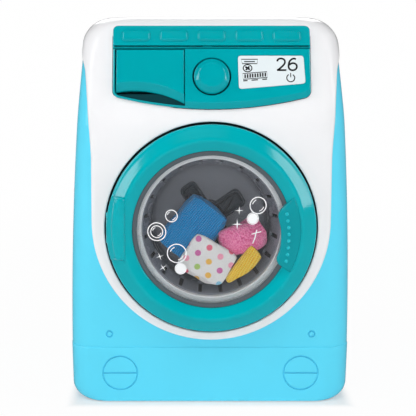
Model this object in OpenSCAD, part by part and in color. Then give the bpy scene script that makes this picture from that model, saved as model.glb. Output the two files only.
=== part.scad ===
// Toy front-loading washing machine, about 22 cm tall.
// Frame: +Z up, the door faces -Y, origin on the floor under the middle of the toy.

/* [Cabinet] */
// Height of the whole toy
overall_height = 220; // [200:1:240]
// Width of the body just above the plinth
body_width = 161.2; // [156:0.2:180]
// Depth of the cabinet from its front face to its back
cabinet_depth = 114; // [108:1:130]
// How much narrower each side is at the top
top_narrowing = 9.4; // [2:0.2:12]
// Wall of the moulded shells
wall = 2.2; // [1.6:0.1:2.8]
// Plan radius of the front corners
front_corner = 15; // [10:1:20]
// Plan radius of the rear corners
rear_corner = 12; // [8:1:18]
// Rounding of the top along the sides
top_side_round = 14; // [8:1:16]
// Rounding of the top along the front and the back
top_front_round = 9; // [5:0.5:11]
// Rounding of the bottom corners
bottom_round = 9; // [5:0.5:11]
// Height of the plinth line
plinth_height = 32.5; // [29:0.5:34]
// Step of the plinth beyond the body
plinth_step = 0.8; // [0.4:0.1:1.4]
// Place of the seam between the two shells, from the middle of the toy
seam_y = 5; // [0:1:10]
// Gap left under the shells above the floor
floor_gap = 0.6; // [0.3:0.1:1]

/* [Front] */
// Where the front starts to lean back, below the top
lean_drop = 62; // [58:1:66]
// Height over which the lean is blended in
lean_blend = 12; // [8:1:14]
// Lean of the control panel
lean_angle = 17.5; // [14:0.5:20]
// Line between the panel face and the top strip, below the top
strip_drop = 18.6; // [17:0.1:21]
// Lean of the top strip
strip_angle = 27; // [22:1:32]
// Thickness of the white fascia on the front
fascia_proud = 2; // [1.6:0.1:2.6]
// Thickness of the white fascia where it wraps the sides and the top
fascia_lip = 0.8; // [0.6:0.1:1.2]
// Height of the fascia's round foot, from its widest to its lowest point
fascia_foot = 68.5; // [67:0.5:70]
// Height of the round foot's middle above the door's
fascia_foot_lift = 3.7; // [3:0.1:4.5]
// Half width of the fascia beside the door
fascia_half_width = 67.6; // [65:0.2:69]
// Extra half width of the fascia at its shoulders
fascia_flare = 4.6; // [3:0.2:5]
// Depth of the door's seat in the fascia
seat_depth = 1.5; // [1:0.1:1.8]

/* [Door] */
// Axis of the door and the drum, below the top
door_drop = 118.2; // [116:0.1:119]
// Outer radius of the door ring
ring_r = 59; // [57:0.5:60]
// Radius of the crease on the ring
crease_r = 50.4; // [49:0.2:52]
// Radius of the clear window seen inside the ring
window_r = 44.5; // [43.5:0.1:46]
// How far the window's dome stands ahead of the cabinet face
door_proud = 14; // [13:0.5:16]
// Thickness of the clear window
window_wall = 1.4; // [1:0.1:1.8]
// Height of the ring's outer edge above the fascia
ring_edge = 3; // [2:0.2:4]
// Height of the ring's crease above the fascia
ring_crest = 8.5; // [7:0.5:9.5]
// Length of the hinge barrel with its two ears
hinge_length = 35; // [30:1:40]
// Length of each fixed ear of the hinge
hinge_ear = 4.5; // [3.5:0.5:6]
// Width of the cover over the hinge
hinge_cover_width = 11.2; // [10:0.2:12]
// Radius of the hinge barrel
hinge_barrel_r = 2.8; // [2.4:0.1:3]
// Radius of the hinge pin
hinge_pin_r = 1; // [0.8:0.1:1.2]
// Gap between the closed door and its seat
door_gap = 0.7; // [0.6:0.05:1]

/* [Drum] */
// Radius of the drum at its mouth
drum_mouth_r = 38.6; // [37.6:0.2:39]
// Radius of the drum behind its flared mouth
drum_neck_r = 35.2; // [34:0.2:36]
// Radius of the drum at its back
drum_back_r = 34; // [32:0.2:34.6]
// Depth of the flared mouth
drum_flare = 10; // [8:0.5:12]
// Depth inside the drum
drum_depth = 38; // [34:1:42]
// Wall of the drum
drum_wall = 1.5; // [1.2:0.1:1.8]
// Slots round the drum's mouth
slot_count = 20; // [14:1:24]
// Width of a drum slot
slot_width = 2.2; // [1.6:0.1:3]
// Reach of each arm of the agitator
arm_reach = 24; // [20:0.5:26]
// Width of an agitator arm
arm_width = 11; // [8:0.5:12]
// Height of the agitator off the drum's back
arm_height = 8; // [5:0.5:9]
// Running gap between drum and tub
tub_gap = 1.9; // [1.4:0.1:2.4]
// Radius of the drum shaft
shaft_r = 2.5; // [2:0.1:3]

/* [Drive] */
// Gear module
gear_module = 0.6; // [0.56:0.02:0.64]
// Teeth of the motor pinion
pinion_teeth = 10; // [10:1:11]
// Teeth of both large idler gears
idler_teeth = 36; // [34:1:38]
// Teeth of both small idler gears
idler_pinion_teeth = 12; // [12:1:14]
// Teeth of the drum gear
drum_gear_teeth = 40; // [38:1:42]
// Face width of each gear
gear_width = 3; // [2:0.2:3.6]
// Radius of the gear pins
gear_pin_r = 1; // [0.8:0.1:1.2]
// Radius of the motor can
motor_r = 10; // [9:0.5:11]
// Length of the motor can
motor_length = 22; // [18:1:24]

/* [Control panel] */
// Half width of the control panel
panel_half_width = 55.2; // [54:0.2:57]
// Thickness of the control panel
panel_thickness = 3; // [2.4:0.1:3.4]
// Height of the panel's top edge
panel_top_drop = 4.8; // [4:0.2:6]
// Height of the lowest point of the panel's curved bottom edge
panel_foot_drop = 51.1; // [50:0.1:51.5]
// Rise of the curved bottom edge towards the panel's sides
panel_rise = 7; // [5:0.5:8]
// Bumps along the top strip
bump_count = 5; // [4:1:6]
// Spacing of the bumps
bump_pitch = 21.1; // [20:0.1:22]
// Radius of the start button
button_r = 10; // [9:0.2:10.6]
// Gap round the start button
button_gap = 0.7; // [0.5:0.1:0.9]
// Height of the start button above the panel
button_rise = 3.6; // [3:0.2:4.4]
// Travel of the start button
button_travel = 1.5; // [1:0.1:2]
// Height of the middle of the start button
button_drop = 33.9; // [33:0.1:35]

/* [Detergent drawer] */
// Place of the drawer's inner side, from the middle of the panel
drawer_side = 14.8; // [14:0.2:16]
// Length of the tray that stays in its housing when the drawer is open
drawer_hold = 12; // [9:1:14]
// Wall of the tray and its housing
tray_wall = 1.4; // [1.2:0.1:1.8]
// Opening left for a finger under the drawer
finger_gap = 4.2; // [4.1:0.1:4.6]
// Travel of the drawer
drawer_travel = 26; // [20:1:28]

/* [Power] */
// Radius of a battery cell
cell_r = 7.25; // [7:0.05:7.4]
// Length of a battery cell
cell_length = 50.5; // [49:0.5:51]
// Battery cells side by side
cell_count = 3; // [2:1:3]
// Thickness of the base plate
base_thickness = 2.6; // [2.2:0.1:3]
// Size of the circuit board across the toy
board_width = 36; // [34:1:40]
// Size of the circuit board up the panel
board_length = 24; // [22:1:26]
// Radius of the loudspeaker
speaker_r = 14; // [12:0.5:15]

/* [Fits] */
// Gap between pieces that are fixed together
fixed_gap = 0.1; // [0.05:0.01:0.2]
// Radial clearance of a pin or shaft that turns
running_gap = 0.05; // [0.02:0.01:0.1]
// Gap between pieces that slide or swing past each other
moving_gap = 0.4; // [0.3:0.05:0.6]
// Radius of the case screws
screw_r = 1.4; // [1.2:0.1:1.6]
// Radius of the screw heads
screw_head_r = 2.7; // [2.4:0.1:3]

/* [Hidden] */
$fn = 64;

eps = 0.01;
lean_start = overall_height - lean_drop;
strip_height = overall_height - strip_drop;
door_height = overall_height - door_drop;
panel_top = overall_height - panel_top_drop;
panel_bottom = overall_height - panel_foot_drop;
button_height = overall_height - button_drop;
fascia_waist = lean_start - 16;
fascia_shoulder = overall_height - 22;
front_face = door_proud - (cabinet_depth + door_proud) / 2;
rear_face = (cabinet_depth + door_proud) / 2;
shell_top = overall_height - fascia_lip;
lean_slope = tan(lean_angle);
strip_slope = tan(strip_angle);
panel_y = lean_y(button_height) - fascia_proud;

// Layers of the door and its seat, front to back
dome_front = front_face - door_proud;
fascia_front = front_face - fascia_proud;
crest_y = fascia_front - ring_crest;
edge_y = fascia_front - ring_edge;
seat_front = fascia_front + seat_depth;
seat_back = seat_front + fascia_proud;
ring_back = seat_front - door_gap;
seat_r = ring_r + 1.2;
retainer_thickness = 2.2;
retainer_front = ring_back - 0.8 - retainer_thickness;
window_back = retainer_front - fixed_gap;
window_front = window_back - window_wall;
flange_r = window_r + 3.2;
retainer_r = ring_r - 2.4;
door_screw_r = (retainer_r + flange_r) / 2;

// Hinge on the ring's left edge
hinge_x = -(ring_r - 1.5);
hinge_y = ring_back - hinge_barrel_r;
hinge_low = door_height + 1.5 - hinge_length / 2;
hinge_high = hinge_low + hinge_length;
ear_low = hinge_low + hinge_ear;
ear_high = hinge_high - hinge_ear;

// Layers of the drum, the tub and the gearbox, front to back
drum_front = seat_back + 2.5;
drum_back = drum_front + drum_depth;
drum_end = drum_back + drum_wall;
tub_wall = 1.8;
tub_r = drum_mouth_r + drum_wall + tub_gap;
tub_back = drum_end + tub_gap;
tub_end = tub_back + tub_wall;
tub_flange_r = tub_r + tub_wall + 7.6;
tub_post_r = tub_r + tub_wall + 3.8;
shell_seat_r = seat_r + 0.8;
shell_mouth_r = tub_flange_r + moving_gap;
fascia_post_r = (shell_mouth_r + shell_seat_r) / 2;
case_front = tub_end + 3;
plate = 2;
layer_gap = 0.6;
layer_1 = case_front + plate + layer_gap;
layer_2 = layer_1 + gear_width + layer_gap;
layer_3 = layer_2 + gear_width + layer_gap;
case_back = layer_3 + gear_width + layer_gap + plate;

// Centres of the gear train, seen from the front: the drum, two idlers below it, the motor
second_reach = gear_module * (drum_gear_teeth + idler_pinion_teeth) / 2;
first_reach = gear_module * (idler_teeth + idler_pinion_teeth) / 2;
motor_reach = gear_module * (idler_teeth + pinion_teeth) / 2;
second_angle = -60;
first_angle = -120;
motor_angle = -90;
second_at = [second_reach * cos(second_angle), door_height + second_reach * sin(second_angle)];
first_at = second_at + first_reach * [cos(first_angle), sin(first_angle)];
motor_at = first_at + motor_reach * [cos(motor_angle), sin(motor_angle)];
case_half = 23;
case_top = door_height + gear_module * drum_gear_teeth / 2 + 4.5;
case_bottom = motor_at[1] - 6.5;

// Control panel and drawer, heights up the slope from the button's middle
strip_v = up_panel(strip_height);
strip_length = (panel_top - strip_height - panel_thickness * sin(strip_angle)) / cos(strip_angle);
rim = 1.5;
drawer_left = panel_half_width - rim - moving_gap;
drawer_right = drawer_side + moving_gap;
face_drop = 8;
tray_inset = 1.8;
tray_left = drawer_left - tray_inset;
tray_right = drawer_right + tray_inset;
tray_low = button_height - 4.1;
tray_high = button_height + 11.1;
tray_end = panel_y + drawer_travel + drawer_hold;
window_low = -14.5;
gate_lift = 1.2;
label_low = button_height - 7;
label_high = button_height + 11.4;
window_high = 15.2;
board_w = -9;
board_thickness = 1.6;
board_left = -13;

// Battery compartment
cell_pitch = 2 * cell_r + 0.5;
bay_half = cell_count * cell_pitch / 2 + 0.4;
bay_length = cell_length + 6;
bay_y = 20;
bay_front = bay_y - bay_length / 2;
bay_back = bay_y + bay_length / 2;
cover_thickness = 1.8;
cell_z = cover_thickness + 0.6 + cell_r;
bay_top = cell_z + cell_r + 0.6;
cover_tab = 9;
cover_screw_y = bay_front - cover_tab / 2 - 1;

// Places of the screws
base_screw_x = 58;
base_screw_front = -30;
base_screw_back = 46;
case_screw_low = [body_width / 2 - 14.6, 46];
// the upper case screws stand midway between the drawer's housing and the side wall
case_screw_top = overall_height - 30;
housing_left = tray_left + moving_gap + tray_wall;
case_screw_high = [(housing_left + side_x(case_screw_top, wall)) / 2, case_screw_top];
case_screws_at = [for (s = [-1, 1], p = [case_screw_low, case_screw_high]) [s * p[0], p[1]]];
case_boss_r = 4;
fascia_angles = [35, 145, 215, 325];
tub_angles = [60, 120, 240, 300];
gearbox_posts = [for (p = [[-17, 8.5], [18, 8.5], [-15, -35.5], [17, -35.5]]) [p[0], door_height + p[1]]];
speaker_at = [0, overall_height - 55];
speaker_post = speaker_r + 4.4;
grille_pitch = 4.4;

// ---------------------------------------------------------------- cabinet surface

// How far the rounded bottom corner pulls the side in at height z
function foot_inset(z) =
    z < bottom_round ? bottom_round - sqrt(pow(bottom_round, 2) - pow(bottom_round - z, 2)) : 0;

// How far a top rounding of radius r pulls a wall in, for a surface
// sunk by t on the wall and by up on the top
function crown_inset(z, t, r, up) =
    let (h = z - (shell_top - r))
    h > 0 ? (r - t) * (1 - sqrt(max(0, 1 - pow(h / (r - up), 2)))) : 0;

// Place of the front face before rounding: upright, then leaning, then the steeper strip
function lean_y(z) =
    front_face
    + (z < lean_start ? 0
       : z < lean_start + lean_blend ? lean_slope * pow(z - lean_start, 2) / (2 * lean_blend)
       : lean_slope * (z - lean_start - lean_blend / 2))
    + (z > strip_height ? (strip_slope - lean_slope) * (z - strip_height) : 0);

function step_at(z) = z < plinth_height ? plinth_step : 0;

// Half width, front and back of the cabinet at height z, for a surface sunk by t
function side_x(z, t) =
    body_width / 2 + step_at(z) - t - foot_inset(max(z, floor_gap)) - crown_inset(z, t, top_side_round, t)
    - top_narrowing * pow(max(0, z - plinth_height) / (overall_height - plinth_height), 2);
function front_y(z, t, up) = lean_y(z) - step_at(z) + t + crown_inset(z, t, top_front_round, up);
function back_y(z, t) = rear_face - t - crown_inset(z, t, top_front_round, t);

// How far a rounded plan corner of radius r falls back at x, on a wall of half width w
function corner_drop(x, w, r) =
    abs(x) > w - r ? r - sqrt(max(0, r * r - pow(abs(x) - (w - r), 2))) : 0;
function front_wall_y(x, z, t) = front_y(z, t, t) + corner_drop(x, side_x(z, t), front_corner);
function back_wall_y(x, z, t) = back_y(z, t) - corner_drop(x, side_x(z, t), rear_corner);

// Heights at which the surface is drawn, from the floor to the crown
function heights(t, low) = concat(
    [low],
    [for (i = [1:4]) floor_gap + (bottom_round - floor_gap) * i / 4],
    [plinth_height - plinth_step / 2, plinth_height],
    [for (i = [1:5]) plinth_height + (lean_start - plinth_height) * i / 5],
    [for (i = [1:3]) lean_start + lean_blend * i / 3],
    [for (i = [1:2]) lean_start + lean_blend + (strip_height - lean_start - lean_blend) * i / 2],
    [for (a = [0:15:90]) shell_top - top_side_round + (top_side_round - t) * sin(a)]
);

corner_steps = 7;
// One level of the front half: across the seam's right end, round the front, to its left end
function front_ring(z, ts, tf, cut) =
    let (w = side_x(z, ts), f = front_y(z, tf, ts), r = front_corner)
    concat([[w, cut, z]],
           [for (i = [0:corner_steps]) let (a = -90 * i / corner_steps)
               [w - r + r * cos(a), f + r + r * sin(a), z]],
           [for (i = [0:corner_steps]) let (a = -90 - 90 * i / corner_steps)
               [-w + r + r * cos(a), f + r + r * sin(a), z]],
           [[-w, cut, z]]);
function back_ring(z, t, cut) =
    let (w = side_x(z, t), b = back_y(z, t), r = rear_corner)
    concat([[-w, cut, z]],
           [for (i = [0:corner_steps]) let (a = 180 - 90 * i / corner_steps)
               [-w + r + r * cos(a), b - r + r * sin(a), z]],
           [for (i = [0:corner_steps]) let (a = 90 - 90 * i / corner_steps)
               [w - r + r * cos(a), b - r + r * sin(a), z]],
           [[w, cut, z]]);

// Solid through a stack of rings, each clockwise seen from above
module loft(rings) {
    m = len(rings[0]);
    n = len(rings);
    polyhedron(
        points = [for (r = rings) each r],
        faces = concat(
            [[for (i = [m - 1:-1:0]) i]],
            [for (k = [0:n - 2], i = [0:m - 1]) let (j = (i + 1) % m)
                each [[k * m + i, k * m + j, k * m + m + j], [k * m + i, k * m + m + j, k * m + m + i]]],
            [[for (i = [0:m - 1]) (n - 1) * m + i]]),
        convexity = 6);
}

module front_skin(ts, tf, low, cut) {
    loft([for (z = heights(ts, low)) front_ring(z, ts, tf, cut)]);
}
module back_skin(t, low, cut) {
    loft([for (z = heights(t, low)) back_ring(z, t, cut)]);
}

// ---------------------------------------------------------------- helpers

// Cylinder along Y from y0 to y1 at x, z
module bar_y(r, y0, y1, x = 0, z = 0) {
    translate([x, y1, z]) rotate([90, 0, 0]) cylinder(r = r, h = y1 - y0);
}
module disc_z(r, z0, z1, x, y) {
    translate([x, y, z0]) cylinder(r = r, h = z1 - z0);
}
// Block between two corners
module block(a, b) {
    translate(a) cube([b[0] - a[0], b[1] - a[1], b[2] - a[2]]);
}
// Flat block w by d with rounded corners, centred in plan
module rounded_block(w, d, h, r) {
    translate([-w / 2 + r, -d / 2, 0]) cube([w - 2 * r, d, h]);
    translate([-w / 2, -d / 2 + r, 0]) cube([w, d - 2 * r, h]);
    for (sx = [-1, 1], sy = [-1, 1])
        translate([sx * (w / 2 - r), sy * (d / 2 - r), 0]) cylinder(r = r, h = h);
}
// Turned shape: [radius, distance] points, turned about the drum axis, distance along +Y
module turned_y(points) {
    translate([0, 0, door_height]) rotate([-90, 0, 0]) rotate_extrude($fn = 96) polygon(points);
}
// Copies round the door axis, at angles counted from the right-hand side
module round_door(radius, angles) {
    for (a = angles)
        translate([radius * cos(a), 0, door_height + radius * sin(a)]) children();
}
// Places flat work on the leaning panel: X across, Y up the slope, Z outward
module on_panel() {
    translate([0, panel_y, button_height]) rotate([90 - lean_angle, 0, 0]) children();
}

// All the space in front of level w of the control panel
module before_panel(w) {
    on_panel() block([-body_width, -overall_height, w], [body_width, overall_height, w + cabinet_depth]);
}
module on_strip() {
    translate([0, lean_y(strip_height) - fascia_proud, strip_height])
        rotate([90 - strip_angle, 0, 0]) children();
}
// Height up the slope of the panel for a height above the floor
function up_panel(z) = (z - button_height) / cos(lean_angle);
// Screw along +Y, its head's back at y0, with a cross recess
module screw_y(x, z, y_tip, y_head, r = screw_r, head = screw_head_r) {
    head_h = head * 0.6;
    difference() {
        union() {
            bar_y(r, y_tip, y_head, x, z);
            bar_y(head, y_head, y_head + head_h, x, z);
        }
        for (a = [0, 90])
            translate([x, y_head + head_h, z]) rotate([0, a, 0])
                cube([head * 1.2, head_h, head * 0.3], center = true);
    }
}
// Round cable swept along a route of points
function unit(v) = v / norm(v);
function route_dir(p, i) =
    unit((i < len(p) - 1 ? p[i + 1] : p[i]) - (i > 0 ? p[i - 1] : p[i]));
module cable(route, r) {
    sides = 8;
    rings = [for (i = [0:len(route) - 1])
        let (d = route_dir(route, i), side = unit(cross(d, [0.13, 0.21, 0.97])), up = cross(side, d))
        [for (k = [0:sides - 1]) let (a = 360 * k / sides) route[i] + r * (cos(a) * side + sin(a) * up)]];
    m = sides;
    n = len(rings);
    polyhedron(
        points = [for (q = rings) each q],
        faces = concat(
            [[for (i = [m - 1:-1:0]) i]],
            [for (k = [0:n - 2], i = [0:m - 1]) let (j = (i + 1) % m)
                each [[k * m + i, k * m + j, k * m + m + j], [k * m + i, k * m + m + j, k * m + m + i]]],
            [[for (i = [0:m - 1]) (n - 1) * m + i]]));
}
// Points of a smooth route through hand-placed corners
function blend4(a, b, c, d, t) =
    0.5 * (2 * b + (c - a) * t + (2 * a - 5 * b + 4 * c - d) * t ^ 2
           + (3 * b - a - 3 * c + d) * t ^ 3);
function smooth(p, steps = 5) = concat(
    [for (i = [0:len(p) - 2], k = [0:steps - 1])
        blend4(p[max(i - 1, 0)], p[i], p[i + 1], p[min(i + 2, len(p) - 1)], k / steps)],
    [p[len(p) - 1]]);

// ---------------------------------------------------------------- cabinet pieces

shell_blue = "#6fdffa";
teal = "#02acb6";
dark_teal = "#028c96";

// Boss for a vertical screw, tied to the side wall by a rib
module base_boss(x, y) {
    s = sign(x);
    low = base_thickness + fixed_gap;
    high = 15;
    difference() {
        union() {
            disc_z(4, low, high, x, y);
            block([min(x, s * (side_x(low, wall) + 0.8)), y - 1, low],
                  [max(x, s * (side_x(low, wall) + 0.8)), y + 1, high - 2]);
        }
        disc_z(screw_r, low - 1, high - 2, x, y);
    }
}

module front_shell() {
    boss_top = [for (p = case_screws_at) front_wall_y(abs(p[0]) + case_boss_r, p[1], 0.5)];
    color(shell_blue) difference() {
        union() {
            difference() {
                front_skin(0, 0, floor_gap, seam_y);
                front_skin(wall, wall, floor_gap - 1, seam_y + 1);
            }
            bar_y(shell_seat_r + 1.5, seat_back + fixed_gap, seat_back + fixed_gap + wall, 0, door_height);
            for (i = [0:len(case_screws_at) - 1])
                bar_y(case_boss_r, boss_top[i], seam_y - fixed_gap,
                      case_screws_at[i][0], case_screws_at[i][1]);
            for (s = [-1, 1]) base_boss(s * base_screw_x, base_screw_front);
        }
        // seat and mouth of the door
        bar_y(shell_seat_r, dome_front, seat_back + fixed_gap, 0, door_height);
        bar_y(shell_mouth_r, dome_front, seat_back + 20, 0, door_height);
        // window behind the control panel
        on_panel() block([-panel_half_width + 0.6, window_low - 0.4, -14],
                         [board_left + board_width + 2, window_high + 0.4, 6]);
        // holes for the fascia's posts and the door catch
        round_door(fascia_post_r, fascia_angles) bar_y(2.8, seat_back - 1, seat_back + 6);
        block([shell_mouth_r - 4, seat_back - 1, door_height - 8],
              [shell_seat_r - 1.2, seat_back + 6, door_height + 8]);
        for (p = case_screws_at) bar_y(screw_r, seam_y - 14, seam_y + 1, p[0], p[1]);
        // moulded rings with a coin slot, and the two small marks above them
        for (s = [-1, 1]) {
            translate([s * plinth_ring_x, 0, plinth_ring_z]) plinth_ring();
            translate([s * mark_x, 0, mark_z]) difference() {
                bar_y(2.1, front_face - 1, front_face + 0.5);
                bar_y(1.3, front_face - 2, front_face + 1);
            }
        }
    }
}
plinth_ring_x = 52;
plinth_ring_z = 17.4;
plinth_ring_r = 10;
mark_x = 58;
mark_z = 40.3;
module plinth_ring() {
    y0 = front_face - plinth_step;
    difference() {
        bar_y(plinth_ring_r + 0.5, y0 - 1, y0 + 0.6);
        bar_y(plinth_ring_r - 0.5, y0 - 2, y0 + 1);
    }
    block([-plinth_ring_r, y0 - 1, -0.5], [plinth_ring_r, y0 + 0.6, 0.5]);
}

module rear_shell() {
    color(shell_blue) difference() {
        union() {
            difference() {
                back_skin(0, floor_gap, seam_y);
                back_skin(wall, floor_gap - 1, seam_y - 1);
            }
            for (p = case_screws_at)
                bar_y(case_boss_r + 1, seam_y + fixed_gap,
                      back_wall_y(abs(p[0]) + case_boss_r + 1, p[1], 0.5), p[0], p[1]);
            for (s = [-1, 1]) base_boss(s * base_screw_x, base_screw_back);
            // ring that holds the loudspeaker
            difference() {
                bar_y(speaker_r + 2, rear_face - wall - 6, rear_face - 1, speaker_at[0], speaker_at[1]);
                bar_y(speaker_r + fixed_gap, rear_face - wall - 7, rear_face, speaker_at[0], speaker_at[1]);
            }
            for (s = [-1, 1])
                bar_y(3, rear_face - wall - 6, rear_face - 1,
                      speaker_at[0] + s * speaker_post, speaker_at[1]);
        }
        for (p = case_screws_at) {
            bar_y(screw_r + 0.2, seam_y - 1, rear_face + 1, p[0], p[1]);
            bar_y(screw_head_r + 0.3, seam_y + 6, rear_face + 1, p[0], p[1]);
        }
        for (s = [-1, 1])
            bar_y(screw_r - 0.2, rear_face - wall - 7, rear_face - 2.5,
                  speaker_at[0] + s * speaker_post, speaker_at[1]);
        // grille
        for (i = [-2:2], j = [-2:2])
            if (norm([i, j]) < 2.5)
                bar_y(1.2, rear_face - wall - 1, rear_face + 1,
                      speaker_at[0] + grille_pitch * i, speaker_at[1] + grille_pitch * j);
    }
}

module base_plate() {
    half = side_x(floor_gap, wall) - moving_gap;
    y0 = front_y(floor_gap, wall, wall) + moving_gap;
    y1 = back_y(floor_gap, wall) - moving_gap;
    color("white") difference() {
        union() {
            translate([0, (y0 + y1) / 2, 0])
                rounded_block(2 * half, y1 - y0, base_thickness, front_corner - wall);
            block([-bay_half - tray_wall, bay_front - tray_wall, 1],
                  [bay_half + tray_wall, bay_back + tray_wall, bay_top + tray_wall]);
            disc_z(3.6, 1, 12, 0, cover_screw_y);
        }
        // cells' bay, open below, with a rebate for its cover
        block([-bay_half, bay_front, -1], [bay_half, bay_back, bay_top]);
        block([-bay_half - 1, bay_front - cover_tab, -1],
              [bay_half + 1, bay_back + 1, cover_thickness + fixed_gap]);
        disc_z(screw_r, 0, 11, 0, cover_screw_y);
        for (s = [-1, 1], y = [base_screw_front, base_screw_back]) {
            disc_z(screw_r + 0.2, -1, 5, s * base_screw_x, y);
            disc_z(screw_head_r + 0.3, -1, 1.7, s * base_screw_x, y);
        }
        // slots for the battery leads
        for (s = [-1, 1]) disc_z(1.2, bay_top - 1, bay_top + 4, s * (bay_half - 3), bay_front + 1.6);
    }
}

// ---------------------------------------------------------------- fascia

function fascia_side(z) =
    fascia_half_width + (z > fascia_waist
        ? fascia_flare * pow((z - fascia_waist) / (fascia_shoulder - fascia_waist), 1.2) : 0);
// Front outline of the fascia: an arc under the door, flaring sides, open over the top
module fascia_outline() {
    middle = door_height + fascia_foot_lift;
    polygon(concat(
        [for (a = [180:6:360]) [fascia_half_width * cos(a), middle + fascia_foot * sin(a)]],
        [for (i = [0:7]) let (z = fascia_waist + (fascia_shoulder - fascia_waist) * i / 7)
            [fascia_side(z), z]],
        [[body_width, fascia_shoulder + 6], [body_width, overall_height + 10],
         [-body_width, overall_height + 10], [-body_width, fascia_shoulder + 6]],
        [for (i = [7:-1:0]) let (z = fascia_waist + (fascia_shoulder - fascia_waist) * i / 7)
            [-fascia_side(z), z]]));
}
// Side view of what the fascia wraps over, up to its edge on the top
module wrap_outline() {
    side = front_face + 26;
    top = overall_height + 4;
    polygon([[dome_front - 10, 0], [side, 0], [side, overall_height - 30], [side - 5, overall_height - 21],
             [side + 15, top], [dome_front - 10, top]]);
}
module fascia_posts(radius, angles) {
    round_door(radius, angles) difference() {
        bar_y(2.4, seat_back - 1, seat_back + wall + 2.4);
        bar_y(screw_r - 0.3, seat_back - 0.5, seat_back + wall + 3);
    }
}
module fascia() {
    color("white") difference() {
        union() {
            intersection() {
                difference() {
                    front_skin(-fascia_lip, -fascia_proud, floor_gap, seam_y);
                    front_skin(-fixed_gap, -fixed_gap, floor_gap - 1, seam_y + 1);
                }
                translate([0, rear_face, 0]) rotate([90, 0, 0])
                    linear_extrude(height = 2 * cabinet_depth) fascia_outline();
                rotate([90, 0, 90])
                    linear_extrude(height = 2 * body_width, center = true) wrap_outline();
            }
            intersection() {
                front_skin(-fascia_lip, -fascia_proud, floor_gap, seam_y);
                bar_y(seat_r + 0.6, seat_front, seat_back, 0, door_height);
            }
            fascia_posts(fascia_post_r, fascia_angles);
            fascia_posts(tub_post_r, tub_angles);
            // posts for the circuit board
            on_panel() for (p = board_posts)
                translate([p[0], p[1], board_w]) cylinder(r = 2.2, h = -board_w - 1);
        }
        bar_y(seat_r, dome_front, seat_front, 0, door_height);
        bar_y(drum_mouth_r + 0.8, dome_front, 0, 0, door_height);
        on_panel() {
            // gate of the drawer, which stays under the panel's curved foot
            translate([0, 0, -8]) linear_extrude(height = 12) intersection() {
                panel_area(-panel_half_width + 0.8, -drawer_side + 0.6, gate_lift, window_high);
                translate([-panel_half_width, window_low])
                    square([panel_half_width, window_high - window_low]);
            }
            translate([0, 0, -8]) cylinder(r = stem_r + moving_gap, h = 12);
            for (p = board_posts) translate([p[0], p[1], board_w - 1]) cylinder(r = screw_r - 0.4, h = 6);
            for (p = panel_pegs) translate([p[0], p[1], -1.6]) cylinder(r = 1.2 + fixed_gap, h = 4);
        }
        // room for the hinge barrel, and slots for the door's tongue and the ears' pegs
        block([hinge_x - hinge_barrel_r - 0.5, dome_front, hinge_low - 0.5],
              [hinge_x + 3, seat_front, hinge_high + 0.5]);
        block([tongue_x - 2.6, seat_front - 1, door_height - 5],
              [tongue_x + 2.6, seat_back + 1, door_height + 5]);
        for (z = ear_middles) bar_y(1, seat_front - 1, seat_back - 0.4, hinge_x, z);
    }
}
stem_r = 3;
stem_end = -6;
board_posts = [for (x = [board_left + 3, board_left + board_width - 3], v = [-9, 9]) [x, v]];
panel_pegs = [[30, 12], [46, -8], [-drawer_side + 3.4, -12.4], [30, -12]];
tongue_x = retainer_r - 1.8;
ear_middles = [hinge_low + hinge_ear / 2, hinge_high - hinge_ear / 2];

// ---------------------------------------------------------------- control panel

function panel_foot(x) = up_panel(panel_bottom + panel_rise * pow(x / panel_half_width, 2));
// Area between the panel's curved foot raised by lift and a top line, between two sides
module panel_area(x0, x1, lift, top) {
    steps = 12;
    polygon(concat(
        [for (i = [0:steps]) let (x = x0 + (x1 - x0) * i / steps) [x, panel_foot(x) + lift]],
        [[x1, top], [x0, top]]));
}
module label_area(gap) {
    polygon([[drawer_side + gap, up_panel(label_low) + gap],
             [panel_half_width - 3.4 - gap, up_panel(label_low + 3) + gap],
             [panel_half_width - 4 - gap, up_panel(label_high) - gap],
             [drawer_side + gap, up_panel(label_high) - gap]]);
}
module stadium(length, width) {
    square([length - width, width], center = true);
    for (s = [-1, 1]) translate([s * (length - width) / 2, 0]) circle(r = width / 2);
}
recess_low = window_low + 0.3;
recess_high = up_panel(tray_low - moving_gap - tray_wall) - 0.2;
recess_wall = 0.8;
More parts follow.
